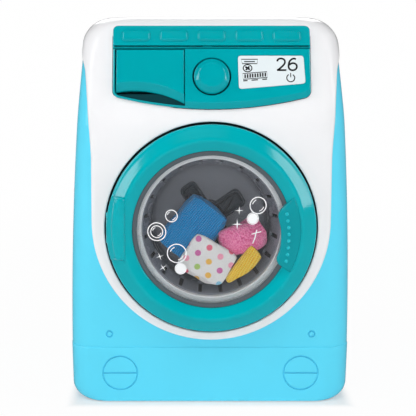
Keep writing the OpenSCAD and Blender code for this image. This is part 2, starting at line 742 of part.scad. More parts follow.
// Area of the finger recess inside the fascia's gate, drawn in at its foot and sides
module recess_area(inset, top) {
    left = -panel_half_width + 0.9;
    right = -drawer_side + 0.5;
    intersection() {
        panel_area(left + inset, right - inset, gate_lift + fixed_gap + inset, top);
        translate([left, recess_low + inset]) square([right - left, top - recess_low]);
    }
}
module control_panel() {
    color(teal) difference() {
        union() {
            difference() {
                union() {
                    on_panel() translate([0, 0, fixed_gap])
                        linear_extrude(height = panel_thickness - fixed_gap)
                        panel_area(-panel_half_width, panel_half_width, 0, strip_v + 0.2);
                    on_strip() translate([-panel_half_width, 0, fixed_gap])
                        cube([2 * panel_half_width, strip_length, panel_thickness - fixed_gap]);
                    on_strip() for (i = [0:bump_count - 1])
                        translate([(i - (bump_count - 1) / 2) * bump_pitch,
                                   strip_length * 0.53, panel_thickness - 1])
                            linear_extrude(height = 2) stadium(16, 7.4);
                }
                on_panel() translate([0, 0, -1]) linear_extrude(height = panel_thickness + 2)
                    panel_area(-panel_half_width + rim, -drawer_side, 1, strip_v - 0.3);
            }
            // walls and back of the finger recess under the drawer
            on_panel() {
                difference() {
                    translate([0, 0, -2.8 - recess_wall])
                        linear_extrude(height = 3.2 + recess_wall) recess_area(0, recess_high);
                    translate([0, 0, -2.8])
                        linear_extrude(height = 5) recess_area(recess_wall, recess_high + 1);
                }
                for (p = panel_pegs) translate([p[0], p[1], -1.5]) cylinder(r = 1.2, h = 2.5);
            }
        }
        on_panel() {
            translate([0, 0, -1]) cylinder(r = button_r + button_gap, h = panel_thickness + 2);
            translate([0, 0, panel_thickness - 0.5]) linear_extrude(height = 1) label_area(0);
        }
    }
}
module display_label() {
    color("#e1eaec") on_panel() translate([0, 0, panel_thickness - 0.5])
        linear_extrude(height = 0.45) label_area(fixed_gap);
}

module detergent_drawer() {
    color(teal) union() {
        on_panel() {
            translate([0, 0, 0.2]) linear_extrude(height = panel_thickness - 0.2)
                panel_area(-drawer_left, -drawer_right, face_drop, strip_v - 0.3 - moving_gap);
            translate([0, 0, -1.5]) linear_extrude(height = 1.8)
                panel_area(-drawer_left, -drawer_right, finger_gap, up_panel(tray_low) + 4);
        }
        difference() {
            block([-tray_left, panel_y - 12, tray_low], [-tray_right, tray_end, tray_high]);
            before_panel(0.5);
            difference() {
                block([-tray_left + tray_wall, panel_y - 12, tray_low + tray_wall],
                      [-tray_right - tray_wall, tray_end - tray_wall, tray_high + 1]);
                before_panel(-tray_wall);
            }
        }
    }
}
module drawer_housing() {
    g = moving_gap;
    color("#e8eef0") difference() {
        block([-tray_left - g - tray_wall, panel_y - 12, tray_low - g - tray_wall],
              [-tray_right + g + tray_wall, tray_end + 1 + tray_wall, tray_high + g + tray_wall]);
        block([-tray_left - g, panel_y - 13, tray_low - g], [-tray_right + g, tray_end + 1, tray_high + g]);
        before_panel(-1.7);
    }
}

module start_button() {
    rest = button_travel + 0.2;
    crown = panel_thickness + button_rise;
    color(teal) on_panel() difference() {
        union() {
            rotate_extrude() polygon(concat(
                [[0, rest], [button_r, rest], [button_r, panel_thickness + 0.4]],
                [for (a = [15:15:90]) [button_r * 0.7 + button_r * 0.3 * cos(a),
                    panel_thickness + 0.4 + (button_rise - 0.4) * sin(a)]],
                [[0, crown]]));
            translate([0, 0, stem_end]) cylinder(r = stem_r, h = rest - stem_end + 0.5);
            translate([0, 0, -fascia_proud - 1.1]) cylinder(r = stem_r + 1, h = 0.9);
        }
        // pocket for the spring
        translate([0, 0, rest - 1]) difference() {
            cylinder(r = button_r - 1.8, h = 4);
            translate([0, 0, -1]) cylinder(r = stem_r, h = 6);
        }
    }
}
module button_spring() {
    turns = 3.5;
    steps = 48;
    coil_r = (stem_r + button_r - 1.8) / 2;
    wire_r = 0.3;
    low = wire_r + fixed_gap;
    high = button_travel + 0.2 + 3 - wire_r - fixed_gap;
    color("silver") on_panel() cable([for (i = [0:steps])
        [coil_r * cos(360 * turns * i / steps), coil_r * sin(360 * turns * i / steps),
         low + (high - low) * i / steps]], wire_r);
}
module circuit_board() {
    color("#2f7d4f") on_panel() difference() {
        union() {
            block([board_left, -board_length / 2, board_w - board_thickness],
                  [board_left + board_width, board_length / 2, board_w]);
            translate([8, 0, board_w - board_thickness - 1.4]) cylinder(r = 4.5, h = 1.5);
        }
        for (p = board_posts) translate([p[0], p[1], board_w - 5]) cylinder(r = screw_r, h = 6);
    }
}
module button_switch() {
    color("#333333") on_panel() {
        translate([-3, -3, board_w]) cube([6, 6, 1]);
        translate([0, 0, board_w + 1 - eps])
            cylinder(r = 1.75, h = stem_end - button_travel - fixed_gap / 2 - board_w - 1);
    }
}
module board_screws() {
    color("silver") on_panel() for (p = board_posts) translate([p[0], p[1], 0]) {
        translate([0, 0, board_w - board_thickness - 1.2]) cylinder(r = 2.2, h = 1.2);
        translate([0, 0, board_w - board_thickness - 0.1]) cylinder(r = screw_r - 0.4, h = 5);
    }
}

// ---------------------------------------------------------------- door

module door_ring() {
    pocket_back = window_front;
    color(teal) difference() {
        union() {
            turned_y(concat(
                [[window_r, window_front], [window_r, window_front - 1.6], [crease_r - 1, crest_y + 0.3]],
                [[crease_r, crest_y], [crease_r + 1.2, crest_y + 0.2]],
                [[ring_r - 1.6, edge_y - 0.9], [ring_r - 0.5, edge_y - 0.3], [ring_r, edge_y + 0.4]],
                [[ring_r, ring_back], [window_r, ring_back]]));
            translate([hinge_x, hinge_y, ear_low + moving_gap])
                cylinder(r = hinge_barrel_r, h = ear_high - ear_low - 2 * moving_gap);
            hinge_cover();
        }
        // seat for the window's flange and the retainer behind it
        bar_y(flange_r + fixed_gap, window_front, ring_back + 1, 0, door_height);
        bar_y(retainer_r + fixed_gap, retainer_front, ring_back + 1, 0, door_height);
        bar_y(window_r, dome_front, ring_back + 1, 0, door_height);
        round_door(door_screw_r, door_screw_angles)
            bar_y(screw_r - 0.2, retainer_front - 2.6, ring_back + 1);
        // room for the fixed ears
        for (z = ear_middles)
            block([hinge_x - 6, crest_y, z - hinge_ear / 2 - moving_gap],
                  [hinge_x + hinge_barrel_r + 1.6, ring_back + 1, z + hinge_ear / 2 + moving_gap]);
        translate([hinge_x, hinge_y, hinge_low - 1])
            cylinder(r = hinge_pin_r + running_gap, h = hinge_length + 2);
        // holes for the handle's pegs
        for (p = handle_pegs) bar_y(1 + fixed_gap, crest_y, window_front - 1.2, p[0], door_height + p[1]);
    }
}
door_screw_angles = [45, 90, 135, 225, 270, 315];
// Raised cover over the hinge, with a rounded bar along its inner edge
module hinge_cover() {
    rise = 0.8;
    bar_r = 2.4;
    inner = -ring_r + hinge_cover_width;
    intersection() {
        union() {
            block([hinge_x + 1.1, crest_y - rise, hinge_low],
                  [inner - bar_r, window_front - 1.7, hinge_high]);
            translate([inner - bar_r, crest_y + bar_r - rise - 0.5, hinge_low])
                cylinder(r = bar_r, h = hinge_length);
        }
        bar_y(ring_r - 0.6, dome_front, window_front, 0, door_height);
    }
}
window_face = dome_front + 4.4;

module door_window() {
    wall_foot = window_r - 1.8;
    wall_top = wall_foot - 3.2;
    face_y = window_face;
    cap_r = 32.5;
    rise = face_y + 0.2 - dome_front;
    cap_R = (cap_r * cap_r + rise * rise) / (2 * rise);
    function cap(r, t) = dome_front + cap_R - sqrt(pow(cap_R - t, 2) - r * r);
    color([0.8, 0.85, 0.9, 0.35]) turned_y(concat(
        [[flange_r, window_back], [flange_r, window_front],
         [wall_foot, window_front], [wall_top, face_y + 0.9]],
        [[wall_top - 1, face_y + 0.2], [cap_r + 0.6, face_y], [cap_r, face_y + 0.2]],
        [for (i = [1:8]) let (r = cap_r * (1 - i / 8)) [r, cap(r, 0)]],
        [for (i = [0:7]) let (r = (cap_r - 0.6) * i / 8) [r, cap(r, window_wall)]],
        [[cap_r - 0.4, face_y + window_wall + 0.2], [wall_top - 1.8, face_y + window_wall + 0.2],
         [wall_foot - 1.6, window_back]]));
}

module window_retainer() {
    color(teal) difference() {
        union() {
            bar_y(retainer_r, retainer_front, retainer_front + retainer_thickness, 0, door_height);
            block([tongue_x - 1.4, retainer_front + 1, door_height - 3.6],
                  [tongue_x + 1.4, seat_back + 2.4, door_height + 3.6]);
            // nib that snaps into the catch
            translate([tongue_x, seat_back + 1.5, door_height - 3.6]) cylinder(r = 1.9, h = 7.2);
        }
        bar_y(window_r - 1, dome_front, 0, 0, door_height);
        round_door(door_screw_r, door_screw_angles) {
            bar_y(screw_r + 0.2, dome_front, 0);
            bar_y(screw_head_r + 0.2, retainer_front + 1, 0);
        }
        translate([hinge_x - 4, -70, hinge_low - 1]) cube([hinge_barrel_r + 6.4, 40, hinge_length + 2]);
    }
}
module door_screws() {
    color("silver") round_door(door_screw_r, door_screw_angles) {
        bar_y(screw_r - 0.2, retainer_front - 2.2, retainer_front + 1);
        bar_y(screw_head_r, retainer_front + 1, retainer_front + 1.9);
    }
}

// Front outline of the grip, from the door's centre: across and up
handle_points = [[46.2, 20], [38, 12], [36.8, 8.5], [38.2, 2], [38.5, -4],
                 [38, -10], [36.2, -15.5], [37, -18.5], [44.6, -24]];
handle_bumps = [for (i = [0:7]) [41.4 + 1.5 * cos((i - 3.5) * 24), -3.5 + (3.5 - i) * 3.8]];
handle_pegs = [[47.4, 9], [47.4, -13]];
module door_handle() {
    front = crest_y - 0.2;
    over_window = window_face - 0.35;
    color(dark_teal) {
        difference() {
            translate([0, window_front, door_height]) rotate([90, 0, 0])
                linear_extrude(height = window_front - front) polygon(concat(handle_points,
                    [for (a = [-28:8:24]) [(crease_r - 0.6) * cos(a), (crease_r - 0.6) * sin(a)]]));
            turned_y([[30, over_window], [window_r - 3.4, over_window],
                [window_r - 0.2, window_front - 1.8],
                [crease_r - 1, crest_y + 0.1], [crease_r + 6, crest_y + 0.1], [crease_r + 6, 0], [30, 0]]);
        }
        for (b = handle_bumps) bar_y(0.95, front - 0.8, front + 0.3, b[0], door_height + b[1]);
        for (p = handle_pegs) bar_y(1, crest_y + 0.6, window_front - 1.6, p[0], door_height + p[1]);
    }
}
module hinge_bracket() {
    color(teal) for (z = ear_middles) difference() {
        union() {
            translate([hinge_x, hinge_y, z - hinge_ear / 2]) cylinder(r = hinge_barrel_r, h = hinge_ear);
            block([hinge_x - hinge_barrel_r, hinge_y, z - hinge_ear / 2],
                  [hinge_x + 1.6, seat_front, z + hinge_ear / 2]);
            bar_y(1, seat_front - 0.5, seat_back - 0.4, hinge_x, z);
        }
        translate([hinge_x, hinge_y, z - hinge_ear]) cylinder(r = hinge_pin_r, h = 2 * hinge_ear);
    }
}
module hinge_pin() {
    color("silver") translate([hinge_x, hinge_y, hinge_low]) cylinder(r = hinge_pin_r, h = hinge_length);
}
module door_catch() {
    cheek = 1.2;
    gap = 2.1;
    color("#e8eef0") difference() {
        block([tongue_x - gap - cheek, seat_back, door_height - 7],
              [tongue_x + gap + cheek, seat_back + 5, door_height + 7]);
        block([tongue_x - gap, seat_back - 1, door_height - 5],
              [tongue_x + gap, seat_back + 3.6, door_height + 5]);
    }
}

// ---------------------------------------------------------------- tub and drum

module tub() {
    color("#e8eef0") difference() {
        union() {
            turned_y([[0, tub_back], [tub_r, tub_back], [tub_r, seat_back], [tub_flange_r, seat_back],
                [tub_flange_r, seat_back + tub_wall], [tub_r + tub_wall, seat_back + tub_wall],
                [tub_r + tub_wall, tub_end], [0, tub_end]]);
            for (p = gearbox_posts) bar_y(3.2, tub_end - eps, case_front, p[0], p[1]);
        }
        bar_y(bush_r, tub_back - 1, tub_end + 1, 0, door_height);
        for (p = gearbox_posts) bar_y(screw_r - 0.2, tub_back + 0.6, case_front + 1, p[0], p[1]);
        round_door(tub_post_r, tub_angles) bar_y(2.5, seat_back - 1, seat_back + 3);
    }
}
bush_r = 5;
module post_screws(radius, angles, thickness) {
    color("silver") round_door(radius, angles) {
        bar_y(screw_r - 0.3, seat_back, seat_back + wall + 2.4);
        bar_y(3.6, seat_back + wall + 2.4, seat_back + wall + 4);
    }
}
module tub_screws() { post_screws(tub_post_r, tub_angles, tub_wall); }
module fascia_screws() { post_screws(fascia_post_r, fascia_angles, wall); }

module drum() {
    w = drum_wall;
    color("#565d66") difference() {
        turned_y([[0, drum_back], [drum_back_r, drum_back], [drum_neck_r, drum_front + drum_flare],
            [drum_mouth_r, drum_front], [drum_mouth_r + w, drum_front],
            [drum_neck_r + w, drum_front + drum_flare + 0.4], [drum_back_r + w, drum_end], [0, drum_end]]);
        bar_y(shaft_r, drum_back - 1, drum_end + 1, 0, door_height);
        for (i = [0:slot_count - 1])
            translate([0, 0, door_height]) rotate([0, 360 * (i + 0.5) / slot_count, 0])
            translate([0, drum_front + 2, drum_back_r - 2]) {
                translate([-slot_width / 2, 0, 0]) cube([slot_width, slot_length, 10]);
                translate([0, slot_length, 0]) cylinder(r = slot_width * 0.75, h = 10);
            }
    }
}
slot_length = drum_flare + 2;
module agitator() {
    color("#454b54") difference() {
        union() {
            bar_y(arm_width * 0.85, drum_back - arm_height, drum_back, 0, door_height);
            for (a = arm_angles) translate([0, 0, door_height]) rotate([0, -a, 0]) {
                translate([0, drum_back - arm_height + 1.5, -arm_width / 2])
                    cube([arm_reach - arm_width / 2, arm_height - 1.5, arm_width]);
                bar_y(arm_width / 2, drum_back - arm_height + 1.5, drum_back, arm_reach - arm_width / 2, 0);
            }
        }
        for (a = arm_angles) translate([0, 0, door_height]) rotate([0, -a, 0])
            bar_y(arm_width / 2 - 1.4, drum_back - arm_height, drum_back - 2, arm_reach - arm_width / 2, 0);
        bar_y(shaft_r, drum_back - 3, drum_back + 1, 0, door_height);
    }
}
arm_angles = [35, 125, 215, 305];
module drum_shaft() {
    color("silver") bar_y(shaft_r, drum_back - 3, case_back - plate / 2, 0, door_height);
}
module shaft_bush() {
    color("#c9a24a") difference() {
        bar_y(bush_r, drum_end + moving_gap, tub_end + 1, 0, door_height);
        bar_y(shaft_r + running_gap, drum_end, tub_end + 3, 0, door_height);
    }
}

// ---------------------------------------------------------------- gearbox

function inv(a) = tan(a) - a * PI / 180;
// Half the angle that a tooth fills at radius r
function tooth_half(r, teeth, m) =
    let (pitch = m * teeth / 2, base = pitch * cos(20), rr = max(r, base))
    90 / teeth - 180 / PI * (0.1 * m / pitch) + 180 / PI * (inv(20) - inv(acos(base / rr)));
module gear_face(teeth) {
    m = gear_module;
    pitch = m * teeth / 2;
    radii = [pitch - 1.2 * m, pitch - 0.3 * m, pitch + 0.3 * m, pitch + 0.85 * m];
    polygon([for (k = [0:teeth - 1]) each concat(
        [for (r = radii) let (a = 360 * k / teeth - tooth_half(r, teeth, m)) [r * cos(a), r * sin(a)]],
        [for (i = [3:-1:0]) let (r = radii[i], a = 360 * k / teeth + tooth_half(r, teeth, m))
            [r * cos(a), r * sin(a)]])]);
}
// Gear seen from the front with its face at y, turned so that a tooth points at angle a
module gear(teeth, y, at, a) {
    translate([at[0], y + gear_width, at[1]]) rotate([90, 0, 0]) rotate([0, 0, a])
        linear_extrude(height = gear_width) gear_face(teeth);
}
// Turn that puts a gear in mesh with one turned by a1, lying at angle phi from it
function mesh(phi, a1, n1, n2) =
    let (p = (phi - a1) * n1 / 360) phi + 180 - (0.5 - p) * 360 / n2;
second_turn = mesh(second_angle, 0, drum_gear_teeth, idler_pinion_teeth);
first_turn = mesh(first_angle, second_turn, idler_teeth, idler_pinion_teeth);
pinion_turn = mesh(motor_angle, first_turn, idler_teeth, pinion_teeth);

module drum_gear() {
    color("white") difference() {
        union() {
            gear(drum_gear_teeth, layer_1, [0, door_height], 0);
            bar_y(shaft_r + 2, layer_1, layer_1 + gear_width + layer_gap, 0, door_height);
        }
        bar_y(shaft_r, layer_1 - 1, layer_3, 0, door_height);
    }
}
// Large gear at y_large with a small one at y_small, side by side on one pin
module idler(at, turn, y_large, y_small) {
    difference() {
        union() {
            gear(idler_teeth, y_large, at, turn);
            gear(idler_pinion_teeth, y_small, at, turn);
            bar_y(gear_module * idler_pinion_teeth / 2 - 1.3 * gear_module,
                  y_small, y_large + gear_width, at[0], at[1]);
        }
        bar_y(gear_pin_r + running_gap, y_small - 1, y_large + gear_width + 1, at[0], at[1]);
    }
}
module second_idler() { color("#dfe8ea") idler(second_at, second_turn, layer_2, layer_1); }
module first_idler() { color("#d3e3e6") idler(first_at, first_turn, layer_3, layer_2); }
module idler_pins() {
    color("silver") for (p = [second_at, first_at])
        bar_y(gear_pin_r, case_front + plate / 2, case_back - plate / 2, p[0], p[1]);
}
motor_shaft_r = 1;
module motor_pinion() {
    color("#c9a24a") difference() {
        gear(pinion_teeth, layer_3, motor_at, pinion_turn);
        bar_y(motor_shaft_r, layer_3 - 1, layer_3 + gear_width + 1, motor_at[0], motor_at[1]);
    }
}
module motor_shaft() {
    color("silver") bar_y(motor_shaft_r, layer_3 - 0.3, case_back + 4, motor_at[0], motor_at[1]);
}
module motor() {
    x = motor_at[0];
    z = motor_at[1];
    color("#b9bec4") difference() {
        union() {
            bar_y(motor_r, case_back, case_back + motor_length, x, z);
            bar_y(3, case_back - plate + 0.2, case_back + 1, x, z);
            bar_y(3.4, case_back + motor_length - 1, case_back + motor_length + 1.2, x, z);
            for (s = [-1, 1])
                block([x + s * 5 - 0.5, case_back + motor_length - 0.5, z - 1.2],
                      [x + s * 5 + 0.5, case_back + motor_length + 2.4, z + 1.2]);
        }
        bar_y(motor_shaft_r + running_gap, case_back - plate, case_back + 5, x, z);
    }
}
module case_slab(y0, y1, inset) {
    h = case_top - case_bottom - 2 * inset;
    translate([0, y1, (case_top + case_bottom) / 2]) rotate([90, 0, 0])
        rounded_block(2 * (case_half - inset), h, y1 - y0, 5 - inset);
}
module gearbox_front() {
    color("#e8eef0") difference() {
        case_slab(case_front, case_front + plate, 0);
        bar_y(shaft_r + 0.6, case_front - 1, case_front + plate + 1, 0, door_height);
        for (p = [second_at, first_at])
            bar_y(gear_pin_r, case_front + plate / 2, case_front + plate + 1, p[0], p[1]);
        for (p = gearbox_posts) bar_y(screw_r + 0.1, case_front - 1, case_front + plate + 1, p[0], p[1]);
    }
}
module gearbox_rear() {
    color("#dfe6e8") difference() {
        union() {
            difference() {
                case_slab(case_front + plate, case_back, 0);
                case_slab(case_front, case_back - plate, 1.6);
            }
            for (p = gearbox_posts) bar_y(2.6, case_front + plate, case_back - 1, p[0], p[1]);
        }
        bar_y(shaft_r + running_gap, case_back - plate - 1, case_back + 1, 0, door_height);
        bar_y(3, case_back - plate - 1, case_back + 1, motor_at[0], motor_at[1]);
        for (p = [second_at, first_at]) bar_y(gear_pin_r, case_front, case_back - plate / 2, p[0], p[1]);
        for (p = gearbox_posts) bar_y(screw_r + 0.1, case_front - 1, case_back + 1, p[0], p[1]);
    }
}
module gearbox_screws() {
    color("silver") for (p = gearbox_posts) screw_y(p[0], p[1], tub_end + 0.4, case_back, screw_r - 0.2);
}

// ---------------------------------------------------------------- power and sound

function cell_x(i) = (i - (cell_count - 1) / 2) * cell_pitch;
module batteries() {
    color("#e0a53a") for (i = [0:cell_count - 1]) {
        bar_y(cell_r, bay_y - cell_length / 2, bay_y + cell_length / 2 - 1.4, cell_x(i), cell_z);
        bar_y(2.6, bay_y + cell_length / 2 - 2, bay_y + cell_length / 2, cell_x(i), cell_z);
    }
}
module battery_contacts() {
    coil = 2.2;
    color("silver") for (i = [0:cell_count - 1]) {
        block([cell_x(i) - 5, bay_front, cell_z - 5], [cell_x(i) + 5, bay_front + 0.5, cell_z + 5]);
        block([cell_x(i) - 5, bay_back - 0.5, cell_z - 5], [cell_x(i) + 5, bay_back, cell_z + 5]);
        bar_y(2.6, bay_back - (bay_length - cell_length) / 2, bay_back - 0.4, cell_x(i), cell_z);
        cable([for (k = [0:36]) let (r = 4.4 - 0.05 * k)
                [cell_x(i) + r * cos(30 * k), bay_front + 0.7 + 1.9 * k / 36,
                 cell_z + r * sin(30 * k)]], 0.3);
    }
}
module battery_cover() {
    color("white") difference() {
        union() {
            block([-bay_half - 1 + moving_gap / 2, bay_front - cover_tab + moving_gap / 2, 0],
                  [bay_half + 1 - moving_gap / 2, bay_back + 1 - moving_gap / 2, cover_thickness]);
        }
        disc_z(screw_r + 0.2, -1, cover_thickness + 1, 0, cover_screw_y);
        disc_z(screw_head_r + 0.3, -1, 1.2, 0, cover_screw_y);
        for (i = [-3:3]) block([i * 3 - 0.4, bay_y - 6, -1], [i * 3 + 0.4, bay_y + 6, 0.4]);
    }
}
module battery_cover_screw() {
    color("silver") {
        disc_z(screw_head_r, 0.3, 1.2, 0, cover_screw_y);
        disc_z(screw_r, 1.1, 9, 0, cover_screw_y);
    }
}
module base_screws() {
    color("silver") for (s = [-1, 1], y = [base_screw_front, base_screw_back]) {
        disc_z(screw_head_r, 0.4, 1.7, s * base_screw_x, y);
        disc_z(screw_r, 1.6, 11, s * base_screw_x, y);
    }
}
module case_screws() {
    color("silver") for (p = case_screws_at) screw_y(p[0], p[1], seam_y - 10, seam_y + 6);
}
module speaker() {
    x = speaker_at[0];
    z = speaker_at[1];
    back = rear_face - wall;
    color("#4a4f55") difference() {
        union() {
            bar_y(speaker_r, back - 3, back, x, z);
            bar_y(speaker_r - 3, back - 6, back - 2.9, x, z);
            bar_y(speaker_r / 2, back - 9, back - 5.9, x, z);
        }
        translate([x, back + 14, z]) sphere(r = 16);
    }
}
module speaker_clamp() {
    back = rear_face - wall - 6;
    color("silver") difference() {
        union() {
            bar_y(speaker_r + 2, back - 1, back, speaker_at[0], speaker_at[1]);
            block([speaker_at[0] - speaker_r - 8, back - 1, speaker_at[1] - 3],
                  [speaker_at[0] + speaker_r + 8, back, speaker_at[1] + 3]);
        }
        bar_y(speaker_r - 3 + moving_gap, back - 2, back + 1, speaker_at[0], speaker_at[1]);
        for (s = [-1, 1])
            bar_y(screw_r - 0.2, back - 2, back + 1, speaker_at[0] + s * speaker_post, speaker_at[1]);
    }
}

// Leads, each a pair of wires side by side
lead_r = 0.6;
module leads(route, shift) {
    for (s = [-1, 1]) color(s < 0 ? "#c0392b" : "#222222")
        cable(smooth([for (p = route) p + s * shift]), lead_r);
}
board_back_y = panel_y + (-board_w + board_thickness + 3) * cos(lean_angle);
module battery_leads() {
    side = body_width / 2 - 24.6;
    front = bay_front - 6;
    leads([[22, bay_front + 1.6, bay_top + 5], [34, front, bay_top + 14],
           [side - 4, front, door_height - 43], [side, front, door_height - 3],
           [side - 4, front - 2, door_height + 36], [34, board_back_y + 10, button_height - 18],
           [18, board_back_y + 4, button_height - 6], [14, board_back_y, button_height - 4]],
          [-0.6, 0.6, 0.5]);
}
module motor_leads() {
    terminal_y = case_back + motor_length + 4;
    leads([[motor_at[0] + 6, terminal_y, motor_at[1]], [motor_at[0] + 20, terminal_y, motor_at[1] + 12],
           [36, 30, door_height - 3], [34, 20, door_height + 36],
           [22, board_back_y + 32, button_height - 22], [10, board_back_y + 6, button_height - 10],
           [8, board_back_y, button_height - 8]], [-0.6, 0.2, 0.6]);
}
module speaker_leads() {
    back = rear_face - wall - 11;
    leads([[speaker_at[0], back, speaker_at[1] + 5], [2, back - 17, button_height - 8],
           [2, back - 41, button_height - 2], [2, board_back_y + 24, button_height - 6],
           [2, board_back_y + 4, button_height - 11],
           [2, board_back_y, button_height - 12]], [0.8, 0, 0]);
}

// ---------------------------------------------------------------- laundry

// Folded piece of laundry: a block w by h in front view, from y0 to y1, held inside a radius;
// place, width and height are in hundredths of the drum's neck
module folded(at, turn, w, h, y0, y1, radius) {
    u = drum_neck_r / 100;
    intersection() {
        translate([u * at[0], y1, door_height + u * at[1]]) rotate([0, -turn, 0]) rotate([90, 0, 0])
            rounded_block(u * w, u * h, y1 - y0, 3);
        bar_y(radius, y0 - 1, y1 + 1, 0, door_height);
    }
}
lay_front = drum_front + 0.6;
lay_mid = drum_front + 9;
lay_back = drum_back - arm_height - 1;
front_r = drum_neck_r - moving_gap;
back_r = drum_back_r - moving_gap;
module blue_towel() { color("#187ba9") folded([-28.4, -11.4], 52, 102, 71, lay_mid, lay_back, back_r); }
module dotted_cloth() {
    color("#f0eeec") folded([-19.9, -63], 24, 79.5, 59.7, lay_front, lay_mid - moving_gap, front_r);
}
module pink_towel() { color("#e98bad") folded([56.8, -34.1], 28, 56.8, 62.5, lay_mid, lay_back, back_r); }
module yellow_towel() {
    color("#f2c53d") folded([56.8, -56.8], 38, 56.8, 39.8, lay_front, lay_mid - moving_gap, front_r);
}

front_shell();
rear_shell();
base_plate();
fascia();
control_panel();
display_label();
detergent_drawer();
drawer_housing();
start_button();
button_spring();
circuit_board();
button_switch();
speaker();
speaker_clamp();
door_ring();
door_window();
window_retainer();
door_handle();
door_screws();
hinge_bracket();
hinge_pin();
door_catch();
tub();
tub_screws();
drum();
agitator();
drum_shaft();
shaft_bush();
drum_gear();
second_idler();
first_idler();
idler_pins();
motor_pinion();
motor_shaft();
motor();
gearbox_front();
gearbox_rear();
gearbox_screws();
batteries();
battery_contacts();
battery_cover();
battery_cover_screw();
case_screws();
base_screws();
fascia_screws();
board_screws();
battery_leads();
motor_leads();
speaker_leads();
blue_towel();
dotted_cloth();
pink_towel();
yellow_towel();
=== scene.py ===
import math

import bmesh
import bpy
from mathutils import Matrix, Vector, noise


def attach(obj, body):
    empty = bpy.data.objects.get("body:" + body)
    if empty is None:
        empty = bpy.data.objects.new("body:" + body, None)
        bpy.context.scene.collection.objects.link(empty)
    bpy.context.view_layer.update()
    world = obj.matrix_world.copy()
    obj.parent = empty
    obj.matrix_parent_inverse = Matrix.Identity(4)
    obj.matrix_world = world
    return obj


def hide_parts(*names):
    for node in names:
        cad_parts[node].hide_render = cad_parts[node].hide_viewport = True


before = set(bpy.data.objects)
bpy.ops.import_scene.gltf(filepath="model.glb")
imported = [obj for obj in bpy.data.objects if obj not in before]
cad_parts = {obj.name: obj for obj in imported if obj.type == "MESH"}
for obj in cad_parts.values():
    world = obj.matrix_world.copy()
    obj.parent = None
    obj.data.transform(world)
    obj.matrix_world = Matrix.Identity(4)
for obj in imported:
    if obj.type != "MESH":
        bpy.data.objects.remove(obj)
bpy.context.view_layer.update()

MM = 0.001

# ------------------------------------------------------------------ sizes, in millimetres

OVERALL = 220
BODY_HALF = 80.6
NARROWING = 9.4
SHELL_TOP = 219.2
FRONT_FACE, REAR_FACE, SEAM = -50, 64, 5
FRONT_CORNER, REAR_CORNER = 15, 12
SIDE_ROUND, FRONT_ROUND, BOTTOM_ROUND = 14, 9, 9
PLINTH, PLINTH_STEP, PLINTH_EDGE, FLOOR_GAP = 32.5, 0.8, 0.7, 0.6
SHELL_WALL = 2
LEAN_START, LEAN_BLEND, LEAN = 158, 12, 17.5
STRIP_Z, STRIP_LEAN, STRIP_TOP = 201.4, 27, 215.2
LEAN_SLOPE, STRIP_SLOPE = math.tan(math.radians(LEAN)), math.tan(math.radians(STRIP_LEAN))
LIP, PROUD = 0.8, 2
WAIST_Z, SHOULDER_Z, WAIST_HALF, FLARE = 142, 198, 67.6, 4.6
DOOR_Z, RING_R, SEAT_R = 101.8, 59, 60.2
FOOT_Z, FOOT_HIGH = DOOR_Z + 3.7, 68.5
FASCIA_Y = FRONT_FACE - PROUD
SEAT_Y = FASCIA_Y + 1.5
RING_BACK = SEAT_Y - 0.7
WINDOW_FRONT = -55.7
WINDOW_FACE = -59.6
DOME_Y = -64
HINGE_X, HINGE_Y = -57.5, RING_BACK - 2.8
DRUM_FRONT, DRUM_BACK = -46, -8
MOUTH_R, NECK_R, BACK_R = 38.6, 35.2, 34
PANEL_HALF, BUTTON_Z, PANEL_FOOT_Z, PANEL_RISE = 55.2, 186.1, 168.9, 7
PANEL_THICK = 3


def foot_inset(z):
    """How far the rounded foot draws the walls in."""
    if z >= BOTTOM_ROUND:
        return 0
    return BOTTOM_ROUND - math.sqrt(BOTTOM_ROUND**2 - (BOTTOM_ROUND - z) ** 2)


def crown_inset(z, t, r, up):
    """How far the rounded top draws in a wall that lies t deep; up is its depth at the very top."""
    h = z - (SHELL_TOP - r)
    return (r - t) * (1 - math.sqrt(max(0, 1 - (h / (r - up)) ** 2))) if h > 0 else 0


def lean_y(z):
    """Front of the shell: upright, then leaning back, and more so behind the strip."""
    y = FRONT_FACE
    if z > LEAN_START + LEAN_BLEND:
        y += LEAN_SLOPE * (z - LEAN_START - LEAN_BLEND / 2)
    elif z > LEAN_START:
        y += LEAN_SLOPE * (z - LEAN_START) ** 2 / (2 * LEAN_BLEND)
    return y + max(0, z - STRIP_Z) * (STRIP_SLOPE - LEAN_SLOPE)


def plinth_step(z):
    """Step of the plinth, with its upper edge rounded over."""
    rise = z - (PLINTH - PLINTH_EDGE)
    if rise <= 0:
        return PLINTH_STEP
    return 0 if z > PLINTH else PLINTH_STEP - PLINTH_EDGE + math.sqrt(max(0, PLINTH_EDGE**2 - rise**2))


def side_x(z, t):
    """Half width of a side wall that lies t deep, at height z."""
    taper = NARROWING * (max(0, z - PLINTH) / (OVERALL - PLINTH)) ** 2
    drawn_in = 0.8 * plinth_step(z) + 0.7 * max(0, 1 - z / PLINTH)
    rounded_in = foot_inset(max(z, FLOOR_GAP)) + crown_inset(z, t, SIDE_ROUND, t)
    return BODY_HALF + plinth_step(z) - drawn_in - t - rounded_in - taper


def front_y(z, t, up):
    return lean_y(z) - plinth_step(z) + t + crown_inset(z, t, FRONT_ROUND, up)


def rear_y(z, t):
    return REAR_FACE - t - crown_inset(z, t, FRONT_ROUND, t)


def corner_drop(x, w, r):
    """How far an upright corner of radius r falls back at x, on a face of half width w."""
    over = abs(x) - (w - r)
    return r - math.sqrt(max(0, r * r - over * over)) if over > 0 else 0


def fascia_side(z):
    """Half width of the white fascia, which flares above its waist."""
    return WAIST_HALF + (FLARE * ((z - WAIST_Z) / (SHOULDER_Z - WAIST_Z)) ** 1.2 if z > WAIST_Z else 0)


